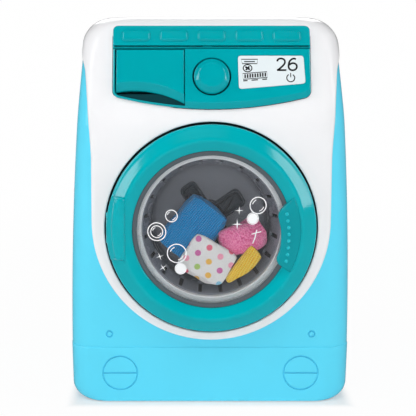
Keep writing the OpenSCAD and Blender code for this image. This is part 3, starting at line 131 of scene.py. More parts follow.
def up_panel(z):
    """Height on the leaning panel, from the start button's middle, of a height over the floor."""
    return (z - BUTTON_Z) / math.cos(math.radians(LEAN))


def panel_foot(x):
    """The panel's curved lower edge."""
    return up_panel(PANEL_FOOT_Z + PANEL_RISE * (x / PANEL_HALF) ** 2)


def facing(x, y, z, lean=0):
    """Frame of work on an upright or leaning face: across, up, and out towards the front."""
    return Matrix.Translation((x, y, z)) @ Matrix.Rotation(math.radians(90 - lean), 4, "X")


PANEL_Y = lean_y(BUTTON_Z) - PROUD
PANEL = facing(0, PANEL_Y, BUTTON_Z, LEAN)
STRIP = facing(0, lean_y(STRIP_Z) - PROUD, STRIP_Z, STRIP_LEAN)
DOOR = facing(0, 0, DOOR_Z)
STRIP_V = up_panel(STRIP_Z)
STRIP_TURN = math.radians(STRIP_LEAN)
STRIP_LONG = (STRIP_TOP - STRIP_Z - PANEL_THICK * math.sin(STRIP_TURN)) / math.cos(STRIP_TURN)


# ------------------------------------------------------------------ finishes


def tint(r, g, b):
    """A colour from its screen values, 0 to 255."""
    one = [c / 255 / 12.92 if c <= 10 else ((c / 255 + 0.055) / 1.055) ** 2.4 for c in (r, g, b)]
    return (*one, 1)


def shade(colour, k):
    """The colour made lighter or darker."""
    return (*[min(1, c * k) for c in colour[:3]], 1)


class Value:
    """A socket of a finish. Sums and products with it add Math nodes."""

    def __init__(self, finish, socket):
        self.finish, self.socket = finish, socket

    def math(self, operation, *others):
        values = {0: self, **{i + 1: o for i, o in enumerate(others)}}
        return self.finish.node("ShaderNodeMath", {"operation": operation}, values)

    def __add__(self, other):
        return self.math("ADD", other)

    def __sub__(self, other):
        return self.math("SUBTRACT", other)

    def __mul__(self, other):
        return self.math("MULTIPLY", other)

    def __truediv__(self, other):
        return self.math("DIVIDE", other)

    def __rsub__(self, other):
        return self * -1 + other

    __radd__, __rmul__ = __add__, __mul__

    def wave(self, pitch):
        """From 0 to 1 and back over each pitch."""
        return (self * (2 * math.pi / pitch)).math("SINE") * 0.5 + 0.5

    def ease(self, low, high):
        """0 below low, 1 above high, and smooth between."""
        settings = {"interpolation_type": "SMOOTHSTEP"}
        return self.finish.node("ShaderNodeMapRange", settings, {0: self, 1: low, 2: high})


class Finish:
    """The node tree of one material."""

    def __init__(self, name, owner=None):
        self.owner = owner or bpy.data.materials.new(name)
        self.owner.use_nodes = True
        self.tree = self.owner.node_tree
        self.tree.nodes.clear()

    def node(self, kind, settings=None, values=None, out=0):
        """A node of a kind, with its settings first and then the values or links of its sockets."""
        made = self.tree.nodes.new(kind)
        for key, value in (settings or {}).items():
            if key == "stops":
                stops = made.color_ramp.elements
                while len(stops) > 1:
                    stops.remove(stops[-1])
                for i, (at, colour) in enumerate(value):
                    stop = stops[0] if i == 0 else stops.new(at)
                    stop.position, stop.color = at, colour
            elif key == "steps":
                made.color_ramp.interpolation = value
            else:
                setattr(made, key, value)
        for key, value in (values or {}).items():
            if isinstance(value, Value):
                self.tree.links.new(value.socket, made.inputs[key])
            else:
                made.inputs[key].default_value = value
        return None if out is None else Value(self, made.outputs[out])

    def place(self):
        """Where a point lies in the piece, in millimetres."""
        at = self.node("ShaderNodeTexCoord", out=3)
        return self.node("ShaderNodeVectorMath", {"operation": "SCALE"}, {0: at, "Scale": 1000})

    def split(self, at):
        x = self.node("ShaderNodeSeparateXYZ", values={0: at})
        return [Value(self, o) for o in x.socket.node.outputs]

    def vector(self, x, y, z):
        return self.node("ShaderNodeCombineXYZ", values={0: x, 1: y, 2: z})

    def noise(self, at, scale, detail=2):
        return self.node("ShaderNodeTexNoise", values={"Vector": at, "Scale": scale, "Detail": detail})

    def mix(self, amount, a, b):
        return self.node("ShaderNodeMix", {"data_type": "RGBA"}, {0: amount, 6: a, 7: b}, out=2)

    def surface(self, colour, roughness, bump=None, depth=0.05, **fixed):
        values = {"Base Color": colour, "Roughness": roughness}
        values.update({key.replace("_", " "): value for key, value in fixed.items()})
        if bump is not None:
            values["Normal"] = self.node("ShaderNodeBump", values={"Height": bump, "Distance": depth * MM})
        return self.node("ShaderNodeBsdfPrincipled", values=values)

    def done(self, shader, kind="ShaderNodeOutputMaterial"):
        self.node(kind, values={0: shader}, out=None)
        return self.owner


SKIN = 0.006


def moulded(name, colour, rough=0.09, coat=0.1, drift=0.03, specular=0.2):
    """Moulded plastic: faint clouding of the colour, fine skin, and duller where it is handled."""
    f = Finish(name)
    mm = f.place()
    cloud = f.noise(mm, 0.035, 3).ease(0.3, 0.7)
    skin = f.noise(mm, 1.3, 3)
    rubbed = f.noise(mm, 0.12, 4).ease(0.45, 0.75)
    colour = f.mix(cloud, shade(colour, 1 - drift), shade(colour, 1 + drift / 2))
    return f.done(f.surface(colour, rubbed * 0.05 + rough, skin, SKIN, Coat_Weight=coat, Coat_Roughness=0.05,
                            Specular_IOR_Level=specular))


def metal(name, colour, rough=0.3, pitch=0.25):
    """Turned or drawn metal with fine tool lines."""
    f = Finish(name)
    mm = f.place()
    lines = f.noise(mm, 1 / pitch, 2)
    cloud = f.noise(mm, 0.4, 3)
    colour = f.mix(cloud, shade(colour, 0.85), colour)
    return f.done(f.surface(colour, lines * 0.15 + rough, lines, 0.01, Metallic=1.0))


def clear_plastic(name):
    """Clear window: see-through face on, more mirror-like at a slant, with faint scuffs."""
    f = Finish(name)
    scuff = f.noise(f.place(), 0.9, 4).ease(0.5, 0.8)
    slant = f.node("ShaderNodeLayerWeight", values={"Blend": 0.22}, out=0)
    see = f.node("ShaderNodeBsdfTransparent", values={"Color": (0.985, 0.99, 0.992, 1)})
    gloss = f.surface((0.72, 0.75, 0.77, 1), scuff * 0.04 + 0.03, Specular_IOR_Level=0.9)
    amount = slant * 0.6 + 0.015 + scuff * 0.015
    return f.done(f.node("ShaderNodeMixShader", values={0: amount, 1: see, 2: gloss}))


def turned_axes(f, angle):
    """Across and along a cloth that lies turned by angle in the front view, with its depth."""
    x, y, z = f.split(f.place())
    c, s = math.cos(math.radians(angle)), math.sin(math.radians(angle))
    return x * c + z * s, z * c - x * s, y


def knitted(name, colour, dark, angle, rib=1.25):
    """Ribbed knit: ribs along the cloth, broken into stitches, with a soft fuzz; the colour darkens in the
    low parts as painted shade.
    """
    f = Finish(name)
    along, across, depth = turned_axes(f, angle)
    mm = f.place()
    wobble = f.noise(mm, 0.5, 2) * 0.9
    ribs = (across + wobble + depth * 0.6).wave(rib)
    stitches = (along + wobble + ribs * 0.3).wave(rib * 0.8)
    fuzz = f.noise(mm, 2.4, 4)
    height = ribs * 0.6 + stitches * 0.3 + fuzz * 0.5
    # Colour follows the stitch height, darker where low as painted shade, with some random tone mixed in.
    tone = (height * 0.75 + f.noise(mm, 0.12, 2) * 0.3).ease(0.25, 1.1)
    return f.done(f.surface(f.mix(tone, dark, colour), 0.92, height, 0.5, Specular_IOR_Level=0.1,
                            Sheen_Weight=0.25, Sheen_Roughness=0.5))


def terry(name, colour, dark, loop=1.1):
    """Looped towelling: small round loops, with painted shade darkening the gaps between them."""
    f = Finish(name)
    mm = f.place()
    loops = f.node("ShaderNodeTexVoronoi", values={"Vector": mm, "Scale": 1 / loop, "Randomness": 1.0})
    fuzz = f.noise(mm, 1.8, 4)
    height = 1 - loops + fuzz * 0.5
    # Colour follows the loop height, darker in the gaps as painted shade, with some random tone mixed in.
    tone = (height * 0.6 + f.noise(mm, 0.15, 2) * 0.5).ease(0.3, 1.0)
    return f.done(f.surface(f.mix(tone, dark, colour), 0.95, height, 0.6, Specular_IOR_Level=0.1,
                            Sheen_Weight=0.35, Sheen_Roughness=0.5))


def dotted_cotton(name, angle, pitch=7.2, radius=1.75):
    """Plain woven cotton with printed dots in several colours."""
    f = Finish(name)
    along, across, _ = turned_axes(f, angle)
    u, v = along / pitch, across / pitch
    row = v.math("FLOOR")
    u = u + row * 0.5
    column = u.math("FLOOR")
    cell = f.vector(column, row, 0.0)
    pick = f.node("ShaderNodeTexWhiteNoise", {"noise_dimensions": "3D"}, {"Vector": cell})
    across_cell = (u - column - 0.5) * pitch
    along_cell = (v - row - 0.5) * pitch
    reach = (across_cell * across_cell + along_cell * along_cell).math("SQRT")
    dot = 1 - reach.ease(radius - 0.25, radius + 0.25)
    colours = [tint(236, 84, 120), tint(128, 200, 230), tint(246, 186, 50), tint(166, 200, 90),
               tint(206, 80, 160), tint(250, 156, 184)]
    stops = [(i / len(colours), c) for i, c in enumerate(colours)]
    inks = f.node("ShaderNodeValToRGB", {"stops": stops, "steps": "CONSTANT"}, {0: pick})
    mm = f.place()
    weave = (along.wave(0.7) + across.wave(0.7)) * 0.5
    cloud = f.noise(mm, 0.15, 3)
    ground = f.mix(cloud, tint(226, 222, 222), tint(246, 243, 241))
    return f.done(f.surface(f.mix(dot * 0.9, ground, inks), 0.85, weave * 0.5 + f.noise(mm, 1.5, 3), 0.15,
                            Specular_IOR_Level=0.15, Sheen_Weight=0.15))


def banded(name, first, second, edge, rough=0.3, metallic=0.0):
    """A sleeve in two colours that meet at a place along Y, in millimetres."""
    f = Finish(name)
    band = f.split(f.place())[1].ease(edge - 0.2, edge + 0.2)
    speck = f.noise(f.place(), 1.2, 3)
    return f.done(f.surface(f.mix(band, first, second), speck * 0.1 + rough, speck, 0.01, Metallic=metallic))


def board_green(name):
    """Coated board with copper tracks under the mask."""
    f = Finish(name)
    mm = f.place()
    lines = {"Vector": mm, "Scale": 0.5, "Mortar Size": 0.02}
    tracks = f.node("ShaderNodeTexBrick", {"offset": 0.5}, lines, out=1)
    base = f.mix(tracks, tint(38, 108, 70), tint(82, 150, 96))
    return f.done(f.surface(base, f.noise(mm, 0.8, 2) * 0.1 + 0.3, tracks, 0.03, Coat_Weight=0.4))


def seen_rays(f):
    """1 for rays from the camera, off glossy pieces and through clear ones, else 0; and 1 for glossy rays."""
    rays = f.node("ShaderNodeLightPath").socket.node.outputs
    kinds = ("Is Camera Ray", "Is Glossy Ray", "Is Transmission Ray")
    camera, glossy, through = [Value(f, rays[kind]) for kind in kinds]
    return (camera + glossy + through).math("MINIMUM", 1.0), glossy


def glow(f, strength, kind="ShaderNodeEmission"):
    """Even white light."""
    return f.node(kind, values={"Color": (1, 1, 1, 1), "Strength": strength})


def studio_floor(name, white):
    """Pale floor that keeps the real shadow near the object, is darker in a band round its footprint as
    painted shadow, and runs into the background farther out.
    """
    f = Finish(name)
    x, y, _ = f.split(f.place())
    reach = (x * x + y * y).math("SQRT").ease(180, 900)
    contact_shadow_fade = (x.math("ABSOLUTE") - 76).math("MAXIMUM", (y - 3).math("ABSOLUTE") - 56).ease(0, 8)
    cloud = f.noise(f.place(), 0.004, 2)
    base = f.surface(f.mix(cloud, (0.86, 0.86, 0.86, 1), (0.9, 0.9, 0.9, 1)), 0.85, Specular_IOR_Level=0.0)
    seen, glossy = seen_rays(f)
    lit = f.node("ShaderNodeMixShader", values={0: glossy, 1: glow(f, white), 2: glow(f, white * 0.2)})
    # Within 8 mm of the footprint less of the floor is white glow, so it is darker there even where lit:
    # painted contact shadow on top of the real one.
    amount = seen * (reach * 0.04 + contact_shadow_fade * 0.61 + 0.35)
    return f.done(f.node("ShaderNodeMixShader", values={0: amount, 1: base, 2: lit}))


TEAL = tint(0, 164, 174)
blue_plastic = moulded("blue_plastic", tint(98, 220, 249), rough=0.14, drift=0.012)
white_plastic = moulded("white_plastic", tint(242, 242, 244), rough=0.14, drift=0.012)
teal_plastic = moulded("teal_plastic", TEAL, coat=0.15, specular=0.4)
ring_teal_plastic = moulded("ring_teal_plastic", tint(0, 174, 184), coat=0.2, specular=0.45)
# Lighter copy of the ring's teal for the grip's beads: painted highlight.
painted_highlight_teal = moulded("painted_highlight_teal", tint(30, 190, 202), coat=0.3, specular=0.5)
# Darker copy of the teal for the door grip, which faces forward away from the top light: painted shade.
painted_shade_teal = moulded("painted_shade_teal", tint(0, 152, 162), rough=0.14, coat=0.1, specular=0.35)
# Near-black teal for sheets that stand in for shade: painted shadow along the panel's edges and painted shade
# in the finger recess.
painted_shadow_teal = moulded("painted_shadow_teal", tint(4, 60, 66), rough=0.4, coat=0)
grey_plastic = moulded("grey_plastic", tint(132, 135, 144), rough=0.25, coat=0.2)
seal_grey_plastic = moulded("seal_grey_plastic", tint(92, 102, 108), rough=0.2, coat=0.3)
dark_grey_plastic = moulded("dark_grey_plastic", tint(58, 62, 70), rough=0.2, coat=0.6)
pale_plastic = moulded("pale_plastic", tint(226, 232, 234), rough=0.4, coat=0)
black_plastic = moulded("black_plastic", tint(42, 43, 46), rough=0.5, coat=0)
window_plastic = clear_plastic("window_plastic")
print_white = moulded("print_white", tint(250, 250, 252), rough=0.5, coat=0, drift=0.01)
label_film = moulded("label_film", tint(226, 235, 238), rough=0.35, coat=0, drift=0.02)
label_ink = moulded("label_ink", tint(22, 24, 28), rough=0.5, coat=0, drift=0.2)
steel = metal("steel", (0.62, 0.62, 0.64, 1))
brass = metal("brass", (0.78, 0.6, 0.28, 1))
cell_wrap = banded("cell_wrap", tint(40, 40, 44), tint(208, 140, 52), 28)
board_mask = board_green("board_mask")
red_sleeve = moulded("red_sleeve", tint(170, 44, 40), rough=0.5, coat=0)
blue_knit = knitted("blue_knit", tint(12, 162, 230), tint(0, 100, 166), 52)
dot_cotton = dotted_cotton("dot_cotton", 24)
pink_terry = terry("pink_terry", tint(255, 150, 194), tint(226, 78, 138))
yellow_knit = knitted("yellow_knit", tint(255, 228, 96), tint(250, 182, 30), 62, rib=1.5)


# ------------------------------------------------------------------ mesh tools


def mesh_from(name, shape, at=None):
    """Mesh of a shape, which is (points, faces) in millimetres."""
    points, faces = shape
    mesh = bpy.data.meshes.new(name)
    place = at or Matrix()
    mesh.from_pydata([(place @ Vector(p)) * MM for p in points], [], faces)
    work = bmesh.new()
    work.from_mesh(mesh)
    bmesh.ops.remove_doubles(work, verts=work.verts, dist=1e-6)
    bmesh.ops.recalc_face_normals(work, faces=work.faces)
    work.to_mesh(mesh)
    work.free()
    return mesh


def linked(name, data):
    """A new object of the scene."""
    made = bpy.data.objects.new(name, data)
    bpy.context.scene.collection.objects.link(made)
    return made


def piece(name, shape, finish, body="cabinet", stands_for=(), at=None, sharp=35):
    """A visible piece on a body and the nodes that it stands for."""
    made = linked(name, mesh_from(name, shape, at))
    made.data.materials.append(finish)
    soften(made, sharp)
    if body:
        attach(made, body)
    if stands_for:
        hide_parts(*stands_for)
    return made


def soften(made, sharp=35):
    """Smooth shading, with edges sharper than the angle left crisp."""
    made.data.polygons.foreach_set("use_smooth", [True] * len(made.data.polygons))
    made.data.set_sharp_from_angle(angle=math.radians(sharp))


def settle(made, sharp=35):
    """The piece's modifiers become its mesh."""
    graph = bpy.context.evaluated_depsgraph_get()
    mesh = bpy.data.meshes.new_from_object(made.evaluated_get(graph))
    old, made.data = made.data, mesh
    made.modifiers.clear()
    bpy.data.meshes.remove(old)
    soften(made, sharp)


def thicken(made, thickness):
    """Gives the skin a wall on its inner side."""
    wall = made.modifiers.new("wall", "SOLIDIFY")
    wall.thickness, wall.offset, wall.use_even_offset = thickness * MM, -1, True
    settle(made)


def carve(made, *cutters, sharp=35):
    """Takes each cutter, a shape and its place, out of the piece."""
    tools = []
    for shape, at in cutters:
        tool = linked("cutter", mesh_from("cutter", shape, at))
        tools.append(tool)
        step = made.modifiers.new("cut", "BOOLEAN")
        step.operation, step.object, step.solver = "DIFFERENCE", tool, "EXACT"
    settle(made, sharp)
    for tool in tools:
        bpy.data.objects.remove(tool)


def joined(*shapes):
    """Several shapes as one."""
    points, faces = [], []
    for p, f in shapes:
        faces += [[i + len(points) for i in face] for face in f]
        points += list(p)
    return points, faces


def placed(shape, at):
    """The shape moved by a matrix."""
    points, faces = shape
    return [at @ Vector(p) for p in points], faces


def rows_mesh(rows, loop=False, caps=False):
    """Faces between rows of equally many points."""
    n = len(rows[0])
    points = [p for row in rows for p in row]
    across = n if loop else n - 1
    faces = [[k * n + i, k * n + (i + 1) % n, (k + 1) * n + (i + 1) % n, (k + 1) * n + i]
             for k in range(len(rows) - 1) for i in range(across)]
    if caps:
        faces += [list(range(n))[::-1], [(len(rows) - 1) * n + i for i in range(n)]]
    return points, faces


def turned(profile, steps=128):
    """Shape turned about Z from a closed line of (radius, height)."""
    rows = []
    for k in range(steps):
        a = 2 * math.pi * k / steps
        rows.append([(r * math.cos(a), r * math.sin(a), h) for r, h in profile])
    n = len(profile)
    points = [p for row in rows for p in row]
    faces = [[k * n + i, k * n + (i + 1) % n, (k + 1) % steps * n + (i + 1) % n, (k + 1) % steps * n + i]
             for k in range(steps) for i in range(n)]
    return points, faces


def lathed(profile, steps=128):
    """Shape turned about the door's axis from a closed line of (radius, y)."""
    return turned([(r, -y) for r, y in profile], steps)


def eased(path, radius, steps=5):
    """The closed line with its corners rounded; radius is one number, or one for each corner."""
    n = len(path)
    radii = radius if hasattr(radius, "__len__") else [radius] * n
    out = []
    for i, p in enumerate(path):
        if radii[i] == 0:
            out.append(tuple(p))
            continue
        here, before, after = Vector(p), Vector(path[i - 1]), Vector(path[(i + 1) % n])
        back, on = before - here, after - here
        a = here + back.normalized() * min(radii[i], back.length * 0.48)
        b = here + on.normalized() * min(radii[i], on.length * 0.48)
        for k in range(steps + 1):
            t = k / steps
            out.append(tuple(a * (1 - t) ** 2 + here * 2 * t * (1 - t) + b * t * t))
    return out


def flowing(path, steps=6):
    """A smooth open line through the points."""
    ends = [path[0], *path, path[-1]]
    out = []
    for i in range(len(path) - 1):
        a, b, c, d = [Vector(p) for p in ends[i:i + 4]]
        for k in range(steps):
            t = k / steps
            out.append(tuple(0.5 * (2 * b + (c - a) * t + (2 * a - 5 * b + 4 * c - d) * t * t
                                    + (3 * b - a - 3 * c + d) * t**3)))
    return out + [tuple(path[-1])]


def inset(outline, amount):
    """The closed outline, anticlockwise, moved inwards."""
    n = len(outline)
    out = []
    for i, p in enumerate(outline):
        before, here, after = Vector(outline[i - 1]), Vector(p), Vector(outline[(i + 1) % n])
        a, b = (here - before).normalized(), (after - here).normalized()
        side = Vector((-a.y - b.y, a.x + b.x))
        if side.length < 1e-6:
            side = Vector((-a.y, a.x))
        side.normalize()
        out.append(tuple(here + side * amount / max(0.4, side.dot(Vector((-a.y, a.x))))))
    return out


def plate(outline, levels):
    """A plate over an outline: levels are (inset, height) from its foot to its face."""
    rows = [[(x, y, h) for x, y in inset(outline, amount)] for amount, h in levels]
    return rows_mesh(rows, loop=True, caps=True)


def box_shape(a, b):
    """Box between two corners."""
    xs, ys, zs = zip(a, b)
    points = [(x, y, z) for x in xs for y in ys for z in zs]
    return points, [[0, 1, 3, 2], [4, 6, 7, 5], [0, 4, 5, 1], [2, 3, 7, 6], [0, 2, 6, 4], [1, 5, 7, 3]]


def rounded(x, y, a, b, r):
    """Rounded rectangle about (x, y) with half sizes a and b."""
    out = []
    for turn, sx, sy in ((0, 1, 1), (90, -1, 1), (180, -1, -1), (270, 1, -1)):
        for t in spread(turn, turn + 90, 6):
            t = math.radians(t)
            out.append((x + sx * (a - r) + r * math.cos(t), y + sy * (b - r) + r * math.sin(t)))
    return out


def pad(x, y, a, b, r, levels):
    """Raised pad: levels are (inset, height)."""
    rows = [[(px, py, h) for px, py in rounded(x, y, a - i, b - i, max(r - i, 0.1))] for i, h in levels]
    return rows_mesh(rows, loop=True, caps=True)


def arc(r, start, end, steps, cx=0, cy=0):
    """Points on an arc between two angles in radians."""
    return [(cx + r * math.cos(a), cy + r * math.sin(a)) for a in spread(start, end, steps)]


def circle(r, cx=0, cy=0, steps=32, squash=1):
    turns = [2 * math.pi * k / steps for k in range(steps)]
    return [(cx + r * math.cos(a), cy + squash * r * math.sin(a)) for a in turns]


def rod(r, low, high, cx=0, cy=0, steps=32):
    return plate(circle(r, cx, cy, steps), [(0, low), (0, high)])


def ribbon(path, width, height, closed=False):
    """Flat line of a given width along a path, slightly raised at height."""
    n = len(path)
    left, right = [], []
    for i, p in enumerate(path):
        before = Vector(path[i - 1] if i or closed else p)
        after = Vector(path[(i + 1) % n] if i < n - 1 or closed else p)
        d = (after - before).normalized()
        side = Vector((-d.y, d.x)) * width / 2
        left.append((p[0] + side.x, p[1] + side.y, height))
        right.append((p[0] - side.x, p[1] - side.y, height))
    points = left + right
    last = n if closed else n - 1
    return points, [[i, (i + 1) % n, n + (i + 1) % n, n + i] for i in range(last)]


def spread(a, b, n):
    """The ends of n even steps from a to b."""
    return [a + (b - a) * i / n for i in range(n + 1)]


# ------------------------------------------------------------------ cabinet shells

SEAM_EDGE = ((0.35, 0), (0.1, 0.12), (0, 0.4))


def wall_point(z, s, w, base, r, back):
    """Point of a wall at height z, s along it from its middle; back is 1 in front and -1 behind."""
    a, flat = abs(s), w - r
    turn = r * math.pi / 2
    if a <= flat:
        x, y = a, base
    elif a <= flat + turn:
        t = (a - flat) / r
        x, y = flat + r * math.sin(t), base + back * r * (1 - math.cos(t))
    else:
        x, y = w, base + back * (r + a - flat - turn)
    return math.copysign(x, s), y, z


def shell_heights():
    """Heights of the shell's rows: foot, plinth, body, lean and crown."""
    low = [FLOOR_GAP + (BOTTOM_ROUND - FLOOR_GAP) * (1 - math.cos(math.pi / 2 * k / 8)) for k in range(9)]
    step = [PLINTH - d for d in (PLINTH_EDGE, 0.5, 0.25, 0.08, 0, -0.02)]
    body = spread(PLINTH + 4, LEAN_START, 22) + spread(LEAN_START + 1.5, LEAN_START + LEAN_BLEND, 7)
    lean = spread(LEAN_START + LEAN_BLEND + 4, STRIP_Z, 6) + [STRIP_Z + 1.5]
    crown = [SHELL_TOP - SIDE_ROUND + SIDE_ROUND * math.sin(math.pi / 2 * k / 12) for k in range(13)]
    return low + [12, 20, 28] + step + body + lean + crown


def shell_row(z, front):
    """One level row round half of the cabinet, with its edges rounded in at the seam."""
    r, back = (FRONT_CORNER, 1) if front else (REAR_CORNER, -1)
    w, base = side_x(z, 0), (front_y(z, 0, 0) if front else rear_y(z, 0))
    flat, turn = w - r, r * math.pi / 2
    end = flat + turn + back * (SEAM - base) - r
    half = [(wall_point(z, end - near, side_x(z, t), base, r, back)[0], SEAM - back * near, z)
            for t, near in SEAM_EDGE]
    stops = spread(end - SEAM_EDGE[-1][1], flat + turn, 5)[1:] + spread(flat + turn, flat, 9)[1:]
    half += [wall_point(z, s, w, base, r, back) for s in stops + spread(flat, 0, 12)[1:]]
    return half + [(-x, y, z) for x, y, z in half[-2::-1]]


def cabinet_shell(name, front, node):
    """Half of the cabinet: a skin closed at the top, then given its wall."""
    rows = [shell_row(z, front) for z in shell_heights()]
    points, faces = rows_mesh(rows)
    n = len(rows[0])
    faces.append([(len(rows) - 1) * n + i for i in range(n)])
    made = piece(name, (points, faces), blue_plastic, "cabinet", [node])
    thicken(made, SHELL_WALL)
    return made


def groove_ring(radius, width, depth, steps=64):
    """Cutter for a round groove with a rounded floor."""
    r0, r1 = radius - width / 2, radius + width / 2
    return turned([(r0, 0.5), (r0, -depth * 0.7), (radius, -depth), (r1, -depth * 0.7), (r1, 0.5)], steps)


COIN_X, COIN_Z, COIN_R, COIN_DEEP = 52, 17.4, 9.9, 1.1
DIMPLE_X, DIMPLE_Z, DIMPLE_R, DIMPLE_DEEP = 58, 40.3, 1.7, 1.2
GROOVE = 0.9
HATCH_R = 61.3
front_cabinet = cabinet_shell("cabinet_front", True, "front_shell")
hatch = rod(HATCH_R, 30, 60, steps=128)
tray_gate = box_shape((-56, -16.2, -9), (-13, 16, 5))
carve(front_cabinet, (hatch, DOOR), (tray_gate, PANEL))
coin_ring = groove_ring(COIN_R, GROOVE, COIN_DEEP)
coin_line = box_shape((-9.6, -0.42, -COIN_DEEP), (9.6, 0.42, 0.5))
dimple_ring = groove_ring(DIMPLE_R, GROOVE, DIMPLE_DEEP, 32)
for side in (-1, 1):
    coin = facing(side * COIN_X, FRONT_FACE - PLINTH_STEP, COIN_Z)
    dimple = facing(side * DIMPLE_X, FRONT_FACE, DIMPLE_Z)
    carve(front_cabinet, (coin_ring, coin), (coin_line, coin), (dimple_ring, dimple))

SPEAKER_Z, GRILLE_PITCH, GRILLE_R = 165, 4.4, 1.2
WELL_R, WELL_WALL, WELL_LONG = 2.9, 0.9, 51
rear_cabinet = cabinet_shell("cabinet_rear", False, "rear_shell")
behind = facing(0, REAR_FACE, 0)
case_screws = [(side * x, z) for side in (-1, 1) for x, z in ((66, 46), (62.53, 190))]
wells = [(rod(WELL_R + 0.1, -4, 3, x, z), behind) for x, z in case_screws]
grille = [(i, j) for i in range(-2, 3) for j in range(-2, 3) if math.hypot(i, j) < 2.5]
holes = joined(*[rod(GRILLE_R, -2, 5, GRILLE_PITCH * i, SPEAKER_Z + GRILLE_PITCH * j, 16) for i, j in grille])
carve(rear_cabinet, *wells, (holes, behind))
well_in, well_out = WELL_R, WELL_R + WELL_WALL
cup = turned([(well_in, 0.3), (well_in, WELL_LONG), (well_out, WELL_LONG), (well_out, 0.3)], 32)
cups = joined(*[placed(cup, facing(x, REAR_FACE - SHELL_WALL, z)) for x, z in case_screws])
piece("screw_wells", cups, blue_plastic, "cabinet")

# ------------------------------------------------------------------ white fascia

LIP_STEPS = [0, 0.1, 0.3, 0.65, 1.1, 1.7]
LIP_ROUND, SEAT_ROUND = 1.7, 0.7
ZONE_TOP = 167
GATE_OUT, GATE_IN, GATE_LOW, GATE_HIGH = 54.2, 14.4, 176.8, 200.7
WRAP_LOW, WRAP_TALL = 189, 11


def lip_sink(d):
    """How far the fascia's edge is rounded back, at a distance from the edge."""
    return LIP_ROUND - math.sqrt(max(0, LIP_ROUND**2 - (LIP_ROUND - d) ** 2)) if d < LIP_ROUND else 0


def fascia_point(z, s, sink):
    """Point of the fascia at height z, s along it from its middle, sunk back towards the shell."""
    k = 1 - sink / PROUD
    w, base = side_x(z, -LIP * k), front_y(z, -PROUD * k, -LIP * k)
    return wall_point(z, s, w, base, FRONT_CORNER, 1)


def s_at_x(z, x):
    """Length round the front from its middle to x."""
    flat = side_x(z, -LIP) - FRONT_CORNER
    return x if x <= flat else flat + FRONT_CORNER * math.asin(min(1, (x - flat) / FRONT_CORNER))


def s_at_y(z, y):
    """Length round the front from its middle to the place on the side where the depth is y."""
    flat = side_x(z, -LIP) - FRONT_CORNER
    fall = y - front_y(z, -PROUD, -LIP)
    if fall >= FRONT_CORNER:
        return flat + FRONT_CORNER * (math.pi / 2 - 1) + fall
    return flat + FRONT_CORNER * math.acos(1 - max(0, fall) / FRONT_CORNER)


def fascia_end(z):
    """Half length of the fascia round the front: it wraps on to the sides near the top."""
    narrow = s_at_x(z, min(fascia_side(z), side_x(z, -LIP)))
    wide = s_at_y(z, -29 + 20 * (z - 199) / 25)
    t = max(0, min(1, (z - WRAP_LOW) / WRAP_TALL))
    t = t * t * (3 - 2 * t)
    return narrow * (1 - t) + wide * t


def fascia_row(z):
    """One level row of the fascia, its two ends rolled back to the shell."""
    end = fascia_end(z)
    edge = [end - d for d in LIP_STEPS]
    half = spread(edge[-1], GATE_OUT, 4)[1:] + spread(GATE_OUT, GATE_IN, 11)[1:]
    inner = half + spread(GATE_IN, -GATE_IN, 9)[1:-1] + [-s for s in half[::-1]]
    marks = [(end, LIP_ROUND + 0.8)] + [(s, lip_sink(end - s)) for s in edge]
    right = [fascia_point(z, s, sink) for s, sink in marks]
    left = [(-x, y, z) for x, y, z in right[::-1]]
    return right + [fascia_point(z, s, 0) for s in inner] + left


def fascia_ray(ox, oz):
    """Line over the fascia from the door's seat out to a point of its outline."""
    top = oz > ZONE_TOP - 0.01
    a = math.atan2(oz - DOOR_Z, ox)
    hx, hz = SEAT_R * math.cos(a), DOOR_Z + SEAT_R * math.sin(a)
    reach = math.hypot(ox - hx, oz - hz)
    gap = fascia_end(ZONE_TOP) - s_at_x(ZONE_TOP, abs(ox)) if abs(ox) > WAIST_HALF - 2.5 else 9
    stops = [0, 0.12, 0.35, SEAT_ROUND] + spread(1.1, reach - LIP_ROUND, 6)
    row = [(hx, SEAT_Y + 0.6, hz)]
    for d in stops + [reach - step for step in LIP_STEPS[-2::-1]]:
        t = d / reach
        x, z = hx + (ox - hx) * t, hz + (oz - hz) * t
        sink = lip_sink(gap + (1 - t) * 30 if top else reach - d)
        if d < SEAT_ROUND:
            sink = max(sink, SEAT_ROUND - math.sqrt(max(0, SEAT_ROUND**2 - (SEAT_ROUND - d) ** 2)))
        k = 1 - sink / PROUD
        fall = corner_drop(x, side_x(z, -LIP * k), FRONT_CORNER)
        row.append((x, front_y(z, -PROUD * k, -LIP * k) + fall, z))
    x, y, z = row[-1]
    return row + [(x, y if top else y + 1.4, z)]


def lower_fascia():
    """From the door's seat out to the arc below, the two sides, and a level line above the door."""
    rim = [(x, z) for x, y, z in fascia_row(ZONE_TOP)[1:-1]]
    side = [(fascia_side(z), z) for z in spread(ZONE_TOP, FOOT_Z, 22)[1:]]
    turns = spread(0, math.pi, 72)[1:]
    foot = [(WAIST_HALF * math.cos(a), FOOT_Z - FOOT_HIGH * math.sin(a)) for a in turns]
    rows = [fascia_ray(x, z) for x, z in rim[::-1] + side + foot + [(-x, z) for x, z in side[-2::-1]]]
    return rows_mesh(rows + rows[:1])


